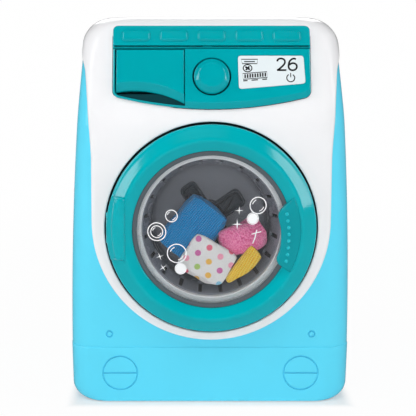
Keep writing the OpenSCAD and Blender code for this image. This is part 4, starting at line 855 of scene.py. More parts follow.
def upper_fascia():
    """Level rows from above the door to the crown and back over it, with the drawer's gate left open."""
    heights = spread(ZONE_TOP, LEAN_START + LEAN_BLEND, 2) + [173, 175] + spread(GATE_LOW, GATE_HIGH, 12)
    heights += [STRIP_Z, STRIP_Z + 1, STRIP_Z + 2.2]
    crown = SIDE_ROUND + LIP
    heights += [SHELL_TOP - SIDE_ROUND + crown * math.sin(math.pi / 2 * k / 14) for k in range(15)]
    rows = [fascia_row(z) for z in heights]
    last = rows[-1]
    back = max(y for x, y, z in last)
    rows += [[(x, y + (back - y) * k / 5, z) for x, y, z in last] for k in range(1, 6)]
    rows.append([(x, back + 0.15, z - 0.9) for x, y, z in last])
    points, faces = rows_mesh(rows)

    def in_gate(face):
        x, y, z = [sum(points[i][k] for i in face) / len(face) for k in range(3)]
        return -GATE_OUT < x < -GATE_IN and GATE_LOW < z < GATE_HIGH and y < -25
    gate_rows = []
    for x, z in ((-GATE_OUT, GATE_LOW), (-GATE_IN, GATE_LOW), (-GATE_IN, GATE_HIGH), (-GATE_OUT, GATE_HIGH)):
        y = front_y(z, -PROUD, -LIP)
        gate_rows.append([(x, y, z), (x, y + 3.5, z)])
    return joined((points, [f for f in faces if not in_gate(f)]), rows_mesh(gate_rows + gate_rows[:1]))


piece("white_fascia", joined(lower_fascia(), upper_fascia()), white_plastic, "cabinet",
      ["fascia"], sharp=50)
SEAT_IN, SEAT_DEEP, GAP_SHADE_OUT = MOUTH_R + 0.8, SEAT_Y + 4, SEAT_R + 0.9
seat = lathed([(58.3, SEAT_Y), (58.3, SEAT_DEEP), (SEAT_IN, SEAT_DEEP), (SEAT_IN, SEAT_Y + 0.4),
               (SEAT_IN + 0.5, SEAT_Y)])
piece("door_seat", seat, white_plastic, "cabinet", at=DOOR)
# Black sheet over the floor and walls of the gap round the door ring: painted shade in the gap.
gap_shade_sheet = lathed([(58.35, SEAT_Y + 0.3), (SEAT_R - 0.9, SEAT_Y + 3), (SEAT_R + 0.05, SEAT_Y + 0.2),
                     (GAP_SHADE_OUT, SEAT_Y + 0.2), (GAP_SHADE_OUT, SEAT_DEEP), (57.6, SEAT_DEEP),
                     (57.6, SEAT_Y + 0.3)])
piece("door_gap_painted_shade", gap_shade_sheet, black_plastic, "cabinet", at=DOOR)

# ------------------------------------------------------------------ door ring, hinge and window

RING = eased([(44.5, -55.7), (44.5, -57.3), (49.3, -60.15), (50.5, -60.55), (51.9, -60.1), (57.2, -56.0),
              (58.5, -55.2), (RING_R, -54.4), (RING_R, RING_BACK), (56.8, RING_BACK), (56.8, -54.1),
              (47.9, -54.1), (47.9, -55.6)],
             [0.2, 0.5, 0.8, 0.7, 0.9, 0.9, 0.5, 0.5, 0.5, 0.2, 0.1, 0.1, 0.1], steps=4)
ring = piece("door_ring_front", lathed(RING, 192), ring_teal_plastic, "door", ["door_ring"],
             at=DOOR)
KNUCKLE, PIN_R, EAR_TALL, EAR_GAP = 1.7, 0.9, 3.4, 0.3
EAR_SPANS = [(DOOR_Z + low, DOOR_Z + low + EAR_TALL) for low in (-7.6, 6.4)]
BARREL_LOW, BARREL_HIGH = EAR_SPANS[0][1] + EAR_GAP, EAR_SPANS[1][0] - EAR_GAP
AXLE_LOW, AXLE_HIGH = EAR_SPANS[0][0] - EAR_GAP, EAR_SPANS[1][1] + EAR_GAP
rooms = [((HINGE_X - 6, -57.3, low - 0.4), (HINGE_X + 3, -50, high + 0.4)) for low, high in EAR_SPANS]
carve(ring, *[(box_shape(*room), None) for room in rooms])
barrel = rod(KNUCKLE, BARREL_LOW, BARREL_HIGH, HINGE_X, HINGE_Y, 40)
piece("door_hinge_barrel", barrel, ring_teal_plastic, "door")
ears = [shape for low, high in EAR_SPANS
        for shape in (rod(KNUCKLE, low, high, HINGE_X, HINGE_Y, 40),
                      box_shape((HINGE_X - 1.2, HINGE_Y, low), (HINGE_X + 1.6, SEAT_Y + 0.2, high)))]
piece("hinge_ears", joined(*ears), ring_teal_plastic, "cabinet", ["hinge_bracket"])
axle = rod(PIN_R, AXLE_LOW, AXLE_HIGH, HINGE_X, HINGE_Y, 24)
piece("hinge_axle", axle, steel, "cabinet", ["hinge_pin"])

COVER_MIDDLE, COVER_HALF, COVER_RIGHT = 1.3, 18, -48.1
COVER_PLATE, COVER_TOP = 57.6, 62.95
COVER_ENDS = [(0, 0.0), (0.06, 0.3), (0.25, 0.58), (0.6, 0.8), (1.1, 0.94), (1.8, 1.0)]


def hinge_cover():
    """Raised cover over the hinge: a plate that follows the ring's edge, and a rounded bar on it."""
    steps = [(d - COVER_HALF, k) for d, k in COVER_ENDS]
    steps += [(v, 1.0) for v in spread(-COVER_HALF + 3, COVER_HALF - 3, 16)]
    steps += [(COVER_HALF - d, k) for d, k in COVER_ENDS[::-1]]
    near = [(0.15, 60.7), (0.5, 61.6), (1.1, 62.3), (1.9, 62.75), (2.9, COVER_TOP)]
    far = [(2.9, 62.9), (1.9, 62.7), (1.1, 62.3), (0.5, 61.7), (0.15, 61.0)]
    rows = []
    for v, k in steps:
        edge = -math.sqrt((RING_R + 0.1) ** 2 - (v + COVER_MIDDLE) ** 2)
        left, right = -56.0 + 2.4 * (v / COVER_HALF) ** 2 + 1.3 * (1 - k), COVER_RIGHT - 1.3 * (1 - k)
        line = [(left + 1, 57.2), (edge + 1, 56.7), (edge + 0.5, 56.2), (edge + 0.1, 56.3)]
        line += [(edge + 0.15, 56.7), (edge + 0.5, 56.9 + 0.2 * k), (edge + 0.9, 57 + 0.6 * k)]
        line += [(edge + 1.4, 57.1 + 1.4 * k)]
        line += [(left - 0.5, 57.2 + 2.2 * k), (left, 57.4 + 2.4 * k)]
        line += [(left + d, COVER_PLATE + (h - COVER_PLATE) * k) for d, h in near]
        line += [(right - d, COVER_PLATE + (h - COVER_PLATE) * k) for d, h in far]
        line += [(right, 57.7), (right + 0.1, 56.8)]
        rows.append([(x, v + COVER_MIDDLE, h) for x, h in line])
    return rows_mesh(rows, loop=True, caps=True)


piece("door_hinge_cover", hinge_cover(), ring_teal_plastic, "door", at=DOOR, sharp=50)

WINDOW_CAP, WINDOW_IN, WINDOW_WALL = 32.5, 31.9, 1.4
WINDOW_SLOPE = [(WINDOW_CAP, WINDOW_FACE + 0.2), (33.1, WINDOW_FACE), (38.5, WINDOW_FACE + 0.5),
                (39.5, WINDOW_FACE + 1.0), (42.7, WINDOW_FRONT)]


def dome_y(r):
    """Front surface of the window at a distance from its middle."""
    if r <= WINDOW_CAP:
        rise = WINDOW_FACE + 0.2 - DOME_Y
        big = (WINDOW_CAP**2 + rise**2) / (2 * rise)
        return DOME_Y + big - math.sqrt(big**2 - r * r)
    for (r0, y0), (r1, y1) in zip(WINDOW_SLOPE, WINDOW_SLOPE[1:]):
        if r <= r1:
            return y0 + (y1 - y0) * (r - r0) / (r1 - r0)
    return WINDOW_FRONT


def window_shape():
    """Window with its flange, sloping wall and dome, the same thickness all over."""
    outer = [(47.6, -54.35), (47.6, WINDOW_FRONT + 0.1), (42.9, WINDOW_FRONT), (39.7, -58.6),
             (38.7, WINDOW_FACE + 0.45), (33.3, WINDOW_FACE)]
    outer += [(r, dome_y(r)) for r in spread(WINDOW_CAP, 0, 14)[:-1]] + [(0.01, DOME_Y)]
    inner = [(r, dome_y(r) + WINDOW_WALL) for r in [0.01] + spread(0, WINDOW_IN, 14)[1:]]
    inner += [(38.2, WINDOW_FACE + 1.6), (41.2, -54.35)]
    radii = [0.1, 0.2, 0.8, 0.7, 0.7, 0.5] + [0] * 30 + [1.0, 0.3]
    return lathed(eased(outer + inner, radii, steps=4), 160)


piece("door_window_dome", window_shape(), window_plastic, "door", ["door_window"],
      at=DOOR, sharp=40)
SEAL = eased([(41.9, -56.2), (44.35, -56.6), (44.35, -55.75), (41.9, -55.5)], 0.2, steps=3)
piece("window_seal", lathed(SEAL, 160), seal_grey_plastic, "door", at=DOOR)

# ------------------------------------------------------------------ grip

GRIP = [(46.2, 20), (38, 12), (36.8, 8.5), (38.2, 2), (38.5, -4), (38, -10), (36.2, -15.5), (37, -18.5),
        (44.6, -24)]
GRIP_LOW, GRIP_HIGH, GRIP_OUT = -23.9, 19.4, 49.7
GRIP_FOOT, GRIP_RISE = 60.1, 1.0
GRIP_EDGE = [(0, 0), (0.15, 0.4), (0.4, 0.73), (0.75, 0.95), (1.15, GRIP_RISE)]
BEADS, BEAD_PITCH, BEAD_FOOT = 8, 3.8, 60.9
BEAD_DOME = ((1.1, 0), (1.05, 0.4), (0.85, 0.8), (0.5, 1.05), (0.15, 1.15))


def grip_edge(v):
    """Inner edge of the grip at a height over the door's middle."""
    line = GRIP[:1] + flowing(GRIP[1:8], 5) + GRIP[8:]
    for (x0, v0), (x1, v1) in zip(line, line[1:]):
        if v1 <= v <= v0:
            return x0 + (x1 - x0) * (v0 - v) / (v0 - v1)
    return line[-1][0]


def grip_shape():
    """Crescent between the wavy inner edge and the ring's crest, seated on the window's rim."""
    rows = []
    for v in spread(GRIP_LOW, GRIP_HIGH, 60):
        left, right = grip_edge(v), math.sqrt(GRIP_OUT**2 - v * v)
        k = max(0.04, min(1, (right - left) / 2.6, (24.2 - abs(v + 0.1)) / 2.2))
        flat = max(right - left, 0.1) - 2.3 * k
        r = math.hypot(left, v)
        foot = -dome_y(r) + 0.15 if r < 44.4 else 56.9 + (r - 44.5) * 0.59
        line = [(left, min(foot, 60))] + [(left + d * k, GRIP_FOOT + h * k) for d, h in GRIP_EDGE]
        line += [(left + 1.15 * k + flat * t, GRIP_FOOT + GRIP_RISE * k) for t in (0.25, 0.5, 0.75)]
        line += [(right - d * k, GRIP_FOOT + h * k) for d, h in GRIP_EDGE[::-1]] + [(right, 57.5)]
        rows.append([(x, v, h) for x, h in line])
    return rows_mesh(rows, loop=True, caps=True)


def grip_beads():
    """Row of beads in an arc down the grip."""
    beads = []
    for i in range(BEADS):
        off = (BEADS - 1) / 2 - i
        x, v = 41.4 + 1.5 * math.cos(math.radians(24 * off)), BEAD_PITCH * off - 3.5
        dome = [[(px, pv, BEAD_FOOT + h) for px, pv in circle(r, x, v, 16)] for r, h in BEAD_DOME]
        beads.append(rows_mesh(dome, loop=True, caps=True))
    return joined(*beads)


# The grip is in a darker teal as painted shade.
piece("door_grip", grip_shape(), painted_shade_teal, "door", ["door_handle"],
      at=DOOR, sharp=40)
# The beads are in a lighter teal as painted highlight.
piece("door_grip_beads", grip_beads(), painted_highlight_teal, "door", at=DOOR)

# ------------------------------------------------------------------ bubbles and sparkles on the window

# across, up, radius, line, whether it has two inner arcs, whether it is filled
BUBBLES = [(-22.45, 8.89, 3.5, 0.5, True, False), (-30.6, -0.23, 5.3, 0.55, False, False),
           (-19.43, -12.19, 5.6, 0.6, True, False), (-17.32, -21.08, 3.3, 0.5, False, True),
           (25.58, 14.59, 4.8, 0.55, True, False), (22.62, 7.41, 3.4, 0.4, False, True),
           (-30.6, -0.23, 3.6, 0.5, True, False)]
# across, up, radius, turn
SPARKLES = [(14.99, 12.08, 2.5, 0), (13.9, 4.5, 3.2, 0), (-28.95, -14.36, 2.4, 20), (-27.18, -20.74, 2.4, 35)]
# the two strokes of the cross, with the width of each
STROKES = [([(22.66, -6.64), (23.96, -3.24), (24.86, 0.96)], 0.6),
           ([(21.96, -1.34), (24.76, -0.54), (27.46, -0.04)], 0.5)]


def on_dome(shape, lift=0.06):
    """Lays flat work (across, up) on the window's outer surface."""
    points, faces = shape
    return [(x, v, -dome_y(math.hypot(x, v)) + lift) for x, v, *_ in points], faces


def bubble(x, v, r, line, arcs, filled):
    parts = [ribbon(circle(r - line / 2, x, v, 40), line, 0, closed=True)]
    if arcs:
        parts += [ribbon(arc(0.66 * r, a, b, 8, x, v), line * 0.8, 0) for a, b in ((1.9, 2.9), (4.9, 6.0))]
    if filled:
        rings = [[(px, pv, 0) for px, pv in circle(q * r, x, v)] for q in (0.84, 0.6, 0.3, 0.02)]
        parts.append(rows_mesh(rings, loop=True))
    return joined(*parts)


def sparkle(x, v, r, turn, slim=0.16):
    """Star with four long points."""
    line = []
    for k in range(8):
        a = math.radians(turn + 45 * k)
        q = r if k % 2 == 0 else r * slim
        line.append((x + q * math.cos(a), v + q * math.sin(a), 0))
    return [(x, v, 0)] + line, [[0, 1 + k, 1 + (k + 1) % 8] for k in range(8)]


prints = [bubble(*how) for how in BUBBLES] + [sparkle(*how) for how in SPARKLES]
prints += [ribbon(path, width, 0) for path, width in STROKES]
piece("window_print", on_dome(joined(*prints)), print_white, "door", at=DOOR, sharp=60)

# ------------------------------------------------------------------ drum and agitator

DRUM_WALL, DRUM_SLOTS = 1.5, 20
DRUM = eased([(0.01, DRUM_BACK), (BACK_R, DRUM_BACK), (NECK_R, DRUM_FRONT + 10), (MOUTH_R, DRUM_FRONT + 0.6),
              (MOUTH_R + 0.5, DRUM_FRONT), (MOUTH_R + DRUM_WALL, DRUM_FRONT),
              (NECK_R + DRUM_WALL, DRUM_FRONT + 10.4),
              (BACK_R + DRUM_WALL, DRUM_BACK + DRUM_WALL), (0.01, DRUM_BACK + DRUM_WALL)],
             [0, 3, 3, 0.6, 0.3, 0.3, 2, 2, 0], steps=4)
drum = piece("drum_basket", lathed(DRUM, 160), grey_plastic, "drum", ["drum"], at=DOOR)


def drum_slot(k):
    """Keyhole slot through the drum's wall, with its round head inwards."""
    head = arc(1.7, math.radians(-45), math.radians(225), 12, 0, 10)
    outline = [(1.05, -0.8), (1.15, 8.8)] + head + [(-1.15, 8.8), (-1.05, -0.8)]
    turn = math.radians(-360 / DRUM_SLOTS * (k + 0.5))
    around = Matrix.Rotation(turn, 4, "Z") @ Matrix.Rotation(math.radians(-90), 4, "X")
    shape = plate(eased(outline, [0.6, 0] + [0] * 13 + [0, 0.6]), [(0, 30), (0, 43)])
    return placed(shape, Matrix.Translation((0, DRUM_FRONT + 2, 0)) @ DOOR @ around)


carve(drum, (joined(*[drum_slot(k) for k in range(DRUM_SLOTS)]), None), sharp=40)

AGITATOR_FOOT = 8
HUB = [(0.01, 15.9), (5, 15.7), (8.2, 14.9), (9.4, 13.2), (9.7, AGITATOR_FOOT), (0.01, AGITATOR_FOOT)]
ARM = eased([(6, -5.5), (24, -5.5), (24, 5.5), (6, 5.5)], [1.2, 3.6, 3.6, 1.2], steps=6)
ARM_LEVELS = [(0, AGITATOR_FOOT), (0, 14.2), (0.2, 14.8), (0.6, 15.25), (1.0, 15.35), (1.4, 15.2),
              (1.7, 14.7), (2.1, 12.4), (2.5, 11.8), (2.8, 11.8)]
BULGE = eased([(4, -4), (10.6, -3), (10.6, 3), (4, 4)], [0, 2.5, 2.5, 0], steps=5)
BULGE_LEVELS = [(0, AGITATOR_FOOT), (0, 13.6), (0.4, 14.4), (1.0, 14.6)]


def agitator_shape():
    """Four round-ended arms dished inside a rim, a small bulge between each pair, and a hub."""
    parts = [turned(HUB, 64)]
    for turn in (35, 125, 215, 305):
        along, between = [Matrix.Rotation(math.radians(turn + more), 4, "Z") for more in (0, 45)]
        parts += [placed(plate(ARM, ARM_LEVELS), along), placed(plate(BULGE, BULGE_LEVELS), between)]
    return joined(*parts)


piece("drum_agitator", agitator_shape(), dark_grey_plastic, "drum", ["agitator"], at=DOOR)

# ------------------------------------------------------------------ control panel


def panel_ring(left, right, lift, side, drop, w, foot=panel_foot, top=STRIP_V, corners=(0, 0)):
    """Level w of a plate over the panel's curved foot: lifted at the foot, drawn in at the sides and the top.
    corners are the radii of its two lower corners."""
    turns = spread(0, math.pi / 2, 6)
    a, b = [max(r - side * 0.6, 0.05) for r in corners]
    low = [(left + side + a * (1 - math.cos(t)), a * (1 - math.sin(t))) for t in turns]
    low += [(x, 0) for x in spread(left + side + a, right - side - b, 26)[1:-1]]
    low += [(right - side - b * (1 - math.cos(t)), b * (1 - math.sin(t))) for t in turns[::-1]]
    low = [(x, foot(x) + lift + rise, w) for x, rise in low]
    return low + [(right - side, top - drop, w), (left + side, top - drop, w)]


def panel_plate(left, right, levels, **how):
    """Plate over the panel's foot: levels are (lift, side, drop, height)."""
    rows = [panel_ring(left, right, *level, **how) for level in levels]
    return rows_mesh(rows, loop=True, caps=True)


LABEL = eased([(15.0, -7.2), (52.0, -4.0), (51.1, 11.9), (14.6, 11.9)], 1.8, steps=5)
FACE_LEVELS = [(0, 0, 0.1, 0.1), (0, 0, 0.1, 0.9), (0.15, 0.1, 0.12, 1.2), (0.5, 0.25, 0.15, 1.45),
               (2.7, 0.6, 0.2, 2.75), (3.1, 0.9, 0.25, 2.95), (3.6, 1.3, 0.35, PANEL_THICK),
               (4.4, 1.9, 0.5, PANEL_THICK)]
face = panel_plate(-PANEL_HALF, PANEL_HALF, FACE_LEVELS, corners=(3, 3))
panel = piece("control_panel_face", face, teal_plastic, "cabinet", ["control_panel"],
              at=PANEL)
opening = panel_plate(-PANEL_HALF + 1.3, -14.9, [(1.0, 0, 0.1, -1), (1.0, 0, 0.1, 4)], corners=(2.2, 0))
button_hole = plate(circle(10.7, steps=72), [(0, -1), (0, 2.4), (-0.1, 2.8), (-0.3, 3.02), (-0.3, 4)])
label_seat = plate(LABEL, [(-0.35, 2.6), (-0.35, 2.75), (-0.6, 3.05), (-0.6, 4)])
carve(panel, (opening, PANEL), (button_hole, PANEL), (label_seat, PANEL), sharp=30)

# Thin near-black sheet under the panel, showing 0.3 mm beyond its edges: painted shadow of the panel on the
# fascia.
shadow_sheet_levels = [(-0.3, -0.3, -8, 0.03), (-0.3, -0.3, -8, 0.12)]
shadow_sheet_plate = panel_plate(-PANEL_HALF, PANEL_HALF, shadow_sheet_levels, corners=(3.3, 3.3))
shadow = piece("panel_painted_shadow", shadow_sheet_plate, painted_shadow_teal, "cabinet", at=PANEL)
carve(shadow, (box_shape((-GATE_OUT, -17, -2), (-GATE_IN, 15, 2)), PANEL), (rod(3.6, -2, 2), PANEL))

BUMP_PITCH, BUMP_UP, BUMP_HALF, BUMP_TALL, BUMP_ROUND = 21.1, 0.53, 8, 3.7, 2.4
BUMP_LEVELS = [(0, 2.8), (0, 3.0), (0.3, 3.5), (0.75, 3.95), (1.3, 4.2), (1.9, 4.3), (2.3, 4.3)]
STRIP_LEVELS = [(0, 0.1), (0, 2.3), (0.08, 2.6), (0.28, 2.86), (0.55, 2.98), (0.8, PANEL_THICK),
                (1.2, PANEL_THICK)]
strip_corners = [(-PANEL_HALF, 0.2), (PANEL_HALF, 0.2), (PANEL_HALF, STRIP_LONG), (-PANEL_HALF, STRIP_LONG)]
strip_outline = eased(strip_corners, [0.3, 0.3, 3.4, 3.4], steps=8)
bumps = [pad(i * BUMP_PITCH, STRIP_LONG * BUMP_UP, BUMP_HALF, BUMP_TALL, BUMP_ROUND, BUMP_LEVELS)
         for i in range(-2, 3)]
strip = joined(plate(strip_outline, STRIP_LEVELS), *bumps)
piece("control_panel_strip", strip, teal_plastic, "cabinet", at=STRIP)

# Back of the finger recess under the drawer, in near-black teal as painted shade.
SCOOP_BACK = 0.15
scoop_rows = []
for x in spread(-54.0, -14.9, 20):
    foot, gate = panel_foot(x), up_panel(GATE_LOW) + 0.2
    flat = [(x, v, SCOOP_BACK) for v in (foot + 0.9, foot * 0.4 + gate * 0.6, gate)]
    scoop_rows.append(flat + [(x, gate + 0.3, -0.6), (x, gate + 0.8, -3), (x, gate + 3, -6.5)])
piece("finger_scoop", rows_mesh(scoop_rows), painted_shadow_teal, "cabinet", at=PANEL)

BUTTON = eased([(0.01, 6.6), (6.3, 6.6), (7.2, 6.35), (9.5, 4.4), (10, 3.3), (10, 1.7), (8.2, 1.7),
                (8.2, 4.4), (3, 4.4), (3, -6), (0.01, -6)],
               [0, 0.5, 0.9, 1.1, 0.8, 0.2, 0, 0, 0, 0.2, 0], steps=4)
piece("start_button_cap", turned(BUTTON, 96), teal_plastic, "button", ["start_button"],
      at=PANEL)

# ------------------------------------------------------------------ label and its markings

label = plate(LABEL, [(0, 2.5), (0, 2.85), (0.08, 2.92)])
piece("display_panel", label, label_film, "cabinet", ["display_label"], at=PANEL)
INK_HEIGHT, DIGIT_LINE, DIGIT_TALL = 2.96, 1.0, 6.6
TWO_AT, SIX_AT = (36.2, 3.6), (42.4, 3.6)
TWO = flowing([(0.04, 0.76), (0.14, 0.92), (0.34, 1.0), (0.6, 1.0), (0.84, 0.9), (0.92, 0.72), (0.84, 0.52),
               (0.6, 0.32), (0.3, 0.12), (0.08, 0.0)], 4)
SIX = flowing([(0.86, 0.96), (0.66, 1.0), (0.42, 0.95), (0.18, 0.76), (0.07, 0.48), (0.06, 0.28),
               (0.16, 0.09), (0.36, 0.0), (0.6, 0.0), (0.84, 0.1), (0.94, 0.3), (0.86, 0.5), (0.62, 0.6),
               (0.36, 0.58),
               (0.12, 0.44)], 4)
POWER, POWER_R, DISC, DISC_SQUASH = (43.8, -0.9), 2.2, (19.9, 4.7), 0.86
BARS, BAR_PITCH, SCALE_SLOPE = 9, 1.4, 0.082


def stroke(path, width, closed=False):
    """Printed line on the label."""
    return ribbon(path, width, INK_HEIGHT, closed)


def digit(path, at, wide):
    return stroke([(at[0] + p * wide, at[1] + q * DIGIT_TALL) for p, q in path], DIGIT_LINE)


def blade(turn):
    """Curved stroke from the disc's middle."""
    a = math.radians(turn)
    turns = [(q, a + q * 0.35) for q in spread(0.1, 1.5, 4)]
    path = [(DISC[0] + q * math.cos(t), DISC[1] + DISC_SQUASH * q * math.sin(t)) for q, t in turns]
    return stroke(path, 1.0)


def bar(i):
    x = 18.5 + i * BAR_PITCH
    v = 1.5 + (x - 17.2) * SCALE_SLOPE
    return stroke([(x, v - 2.6), (x, v - 0.4)], 0.85)


def dash(x0, x1):
    return stroke([(x, -2.6 + (x - 17) * 0.08) for x in (x0, x1)], 0.65)


ink = [digit(TWO, TWO_AT, 4.9), stroke([TWO_AT, (41.4, 3.6)], DIGIT_LINE), digit(SIX, SIX_AT, 5.2)]
ink += [stroke(arc(POWER_R, math.radians(120), math.radians(420), 28, *POWER), 0.6),
        stroke([(POWER[0], POWER[1] + 0.4), (POWER[0], POWER[1] + 2.9)], 0.5)]
ink += [stroke([(16.4, 9.8), (25.6, 9.8), (25.2, 7.3), (17.0, 7.3)], 0.5, closed=True),
        stroke([(18.0, 8.5), (24.0, 8.5)], 0.6),
        stroke(circle(2.4, *DISC, 28, DISC_SQUASH), 0.6, closed=True)]
ink += [blade(turn) for turn in (30, 120, 210, 300)]
ink += [stroke([(17.2, 1.6), (30.6, 2.7), (30.8, -0.6), (17.4, -1.7)], 0.45, closed=True)]
ink += [bar(i) for i in range(BARS)]
ink += [dash(x0, x1) for x0, x1 in ((17.4, 19.8), (22.0, 25.6), (28.0, 30.6))]
piece("display_markings", joined(*ink), label_ink, "cabinet", at=PANEL, sharp=60)

# ------------------------------------------------------------------ detergent drawer

TRAY_LEFT, TRAY_RIGHT, TRAY_LOW, TRAY_HIGH, TRAY_WALL = -51.5, -17, 182, 197.2, 1.4
TRAY_FRONT, TRAY_BACK = PANEL_Y + 1, PANEL_Y + 38


def drawer_foot(x):
    """Upper edge of the finger opening, over the panel's foot."""
    t = (x + 53.9) / 36.2
    return panel_foot(x) + 2.3 + 1.2 * t + 15.8 * t * (1 - t)


DRAWER_LEVELS = [(0, 0, 0, -1.4), (0, 0, 0, 0.3), (0.1, 0.02, 0.02, 0.6), (0.5, 0.05, 0.05, 0.9),
                 (3.9, 0.15, 0.1, 2.5), (4.3, 0.35, 0.2, 2.75), (4.8, 0.8, 0.4, 2.9), (5.5, 1.4, 0.9, 2.9)]
drawer_face = panel_plate(-53.3, -15.2, DRAWER_LEVELS, foot=drawer_foot, top=STRIP_V - 0.5)
piece("drawer_front", drawer_face, teal_plastic, "drawer", ["detergent_drawer"], at=PANEL)
floor_top = TRAY_LOW + TRAY_WALL
tray = joined(
    box_shape((TRAY_LEFT, TRAY_FRONT, TRAY_LOW), (TRAY_RIGHT, TRAY_BACK, floor_top)),
    box_shape((TRAY_LEFT, TRAY_FRONT, TRAY_LOW), (TRAY_LEFT + TRAY_WALL, TRAY_BACK, TRAY_HIGH)),
    box_shape((TRAY_RIGHT - TRAY_WALL, TRAY_FRONT, TRAY_LOW), (TRAY_RIGHT, TRAY_BACK, TRAY_HIGH)),
    box_shape((TRAY_LEFT, TRAY_BACK - TRAY_WALL, TRAY_LOW), (TRAY_RIGHT, TRAY_BACK, TRAY_HIGH)))
piece("drawer_tray", tray, teal_plastic, "drawer")

# ------------------------------------------------------------------ laundry


LAUNDRY_REACH, CLOTH_THICK = 33.0, 1.6


def zigzag(high, front, depth, layers):
    """Path of a cloth folded back and forth, as (up, depth), with round folds at its two ends."""
    pitch = depth / layers
    path = []
    for k in range(layers):
        y = front + pitch * (k + 0.5)
        span = spread(-high / 2 + pitch / 2, high / 2 - pitch / 2, 14)
        if k % 2:
            span = span[::-1]
        path += [(v, y) for v in span]
        if k < layers - 1:
            end = span[-1]
            for a in spread(0, math.pi, 5)[1:-1]:
                reach = end + math.copysign(pitch / 2 * math.sin(a), end)
                path.append((reach, y + pitch / 2 * (1 - math.cos(a))))
    return path


def drift(q):
    """Smooth shift that depends on the place alone."""
    return Vector([noise.noise(q + Vector((17.3, -5.1, 9.7)) * k) for k in (1, 2, 3)])


def folded_cloth(name, finish, node, at, turn, size, front, depth, layers,
                 taper=0.0, crumple=0.8, bulge=1.0, seed=0.0):
    """A folded cloth, turned in the front view about its place on the drum's axis, and crumpled."""
    wide, high = size
    path = zigzag(high, front, depth, layers)
    c, s = math.cos(math.radians(turn)), math.sin(math.radians(turn))
    rows = []
    for u in spread(-wide / 2, wide / 2, 24):
        row = []
        for v, y in path:
            grow, ease_end = 1 + taper * u / wide, 1 - 0.12 * abs(2 * u / wide) ** 4
            up, across = v * grow * ease_end, u * (1 - 0.05 * abs(2 * v / high) ** 3)
            if y < front + depth / 2:
                y -= bulge * (1 - (2 * u / wide) ** 2) * (1 - (2 * v / high) ** 2)
            p = Vector((at[0] + across * c - up * s, y, at[1] + across * s + up * c))
            q = Vector((p.x * 0.09 + seed, p.y * 0.05, p.z * 0.09))
            p += drift(q) * crumple + drift(q * 3.1) * crumple * 0.35
            k = min(1, LAUNDRY_REACH / max(math.hypot(p.x, p.z), 1))
            row.append((p.x * k, p.y, p.z * k + DOOR_Z))
        rows.append(row)
    made = piece(name, rows_mesh(rows), finish, None)
    wall = made.modifiers.new("wall", "SOLIDIFY")
    wall.thickness, wall.offset = min(CLOTH_THICK, depth / layers * 0.55) * MM, 0
    fine = made.modifiers.new("fine", "SUBSURF")
    fine.levels = fine.render_levels = 1
    settle(made, 80)
    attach(made, "laundry")
    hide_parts(node)


folded_cloth("blue_towel_folded", blue_knit, "blue_towel",
             (-9.7, -3.2), 52, (35, 26), -43, 20, 5, crumple=0.9)
folded_cloth("dotted_cloth_folded", dot_cotton, "dotted_cloth",
             (-2.5, -19.8), -31, (28, 23), -48.5, 8, 3, crumple=1.0, seed=4)
folded_cloth("pink_towel_folded", pink_terry, "pink_towel",
             (19.0, -8.8), 20, (27, 17), -44, 20, 4, crumple=2.0, bulge=3.5, seed=9)
folded_cloth("yellow_towel_folded", yellow_knit, "yellow_towel",
             (18.8, -23.5), 40, (25, 9.5), -49, 8, 3, taper=1.3, crumple=0.8, seed=13)

# ------------------------------------------------------------------ finishes of the inner pieces

DRESS = {
    white_plastic: ["base_plate", "battery_cover", "drum_gear", "second_idler", "first_idler"],
    teal_plastic: ["window_retainer"],
    pale_plastic: ["drawer_housing", "door_catch", "gearbox_front", "gearbox_rear"],
    steel: ["button_spring", "speaker_clamp", "door_screws", "tub_screws", "drum_shaft", "idler_pins",
            "motor_shaft", "motor", "gearbox_screws", "battery_contacts", "battery_cover_screw",
            "case_screws", "base_screws", "fascia_screws", "board_screws"],
    brass: ["shaft_bush", "motor_pinion"],
    black_plastic: ["button_switch", "speaker", "tub"],
    cell_wrap: ["batteries"],
    board_mask: ["circuit_board"],
    red_sleeve: ["battery_leads", "motor_leads", "speaker_leads"],
}
for finish, names in DRESS.items():
    for node_name in names:
        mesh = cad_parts[node_name].data
        mesh.materials.clear()
        mesh.materials.append(finish)

# ------------------------------------------------------------------ floor, lights, camera

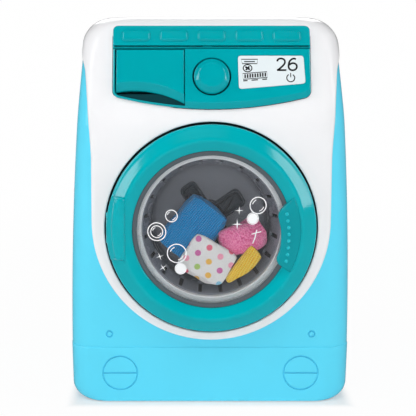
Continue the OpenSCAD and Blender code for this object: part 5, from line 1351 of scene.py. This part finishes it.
scene = bpy.context.scene
scene.view_settings.view_transform = "Standard"
BACKGROUND, ROOM, FILL = 0.998, 0.12, 0.3
floor_mesh = bpy.data.meshes.new("studio_floor")
floor_mesh.from_pydata([(-6, -3, 0), (6, -3, 0), (6, 8, 0), (-6, 8, 0)], [], [[0, 1, 2, 3]])
floor_mesh.materials.append(studio_floor("studio_white", BACKGROUND))
linked("studio_floor", floor_mesh)

world = bpy.data.worlds.new("studio")
scene.world = world
sky = Finish("studio", world)
height = sky.split(sky.node("ShaderNodeTexCoord"))[2]
seen, glossy = seen_rays(sky)
fill, backdrop, room, night = [glow(sky, k, "ShaderNodeBackground") for k in (FILL, BACKGROUND, ROOM, 0)]
mirrored_room = sky.node("ShaderNodeMixShader", values={0: height.ease(0.0, 0.5), 1: room, 2: night})
behind_all = sky.node("ShaderNodeMixShader", values={0: glossy, 1: backdrop, 2: mirrored_room})
sky.done(sky.node("ShaderNodeMixShader", values={0: seen, 1: fill, 2: behind_all}), "ShaderNodeOutputWorld")


def softbox(name, place, aim, wide, high, power, mirrored=True):
    """Square lamp; one that isn't mirrored leaves no glint."""
    lamp = bpy.data.lights.new(name, "AREA")
    lamp.shape, lamp.size, lamp.size_y, lamp.energy = "RECTANGLE", wide, high, power
    made = linked(name, lamp)
    made.location, made.visible_glossy = place, mirrored
    made.rotation_euler = (Vector(aim) - Vector(place)).to_track_quat("-Z", "Y").to_euler()


softbox("left_softbox", (-1.1, -0.33, 0.7), (0, 0, 0.11), 0.3, 1.1, 4.2)
softbox("right_softbox", (1.1, -0.33, 0.7), (0, 0, 0.11), 0.3, 1.1, 3.7)
softbox("key_softbox", (-0.1, -0.5, 1.2), (0, 0, 0.1), 0.7, 0.3, 3.4, mirrored=False)
softbox("front_softbox", (-0.1, -1.2, 0.3), (0, 0, 0.1), 0.5, 0.4, 4.7, mirrored=False)
softbox("rear_softbox", (0.0, 1.1, 0.8), (0, 0, 0.12), 0.8, 0.6, 3.5)

CAMERA_DOWN = 8.65
camera = bpy.data.cameras.new("camera")
camera.lens, camera.sensor_width = 92.4, 36
camera_object = linked("camera", camera)
camera_object.location = (-0.022, -0.645, 0.2039)
camera_object.rotation_euler = (math.radians(90 - CAMERA_DOWN), 0, 0)
camera.shift_x = 0.086
camera.clip_start = 0.05
scene.camera = camera_object
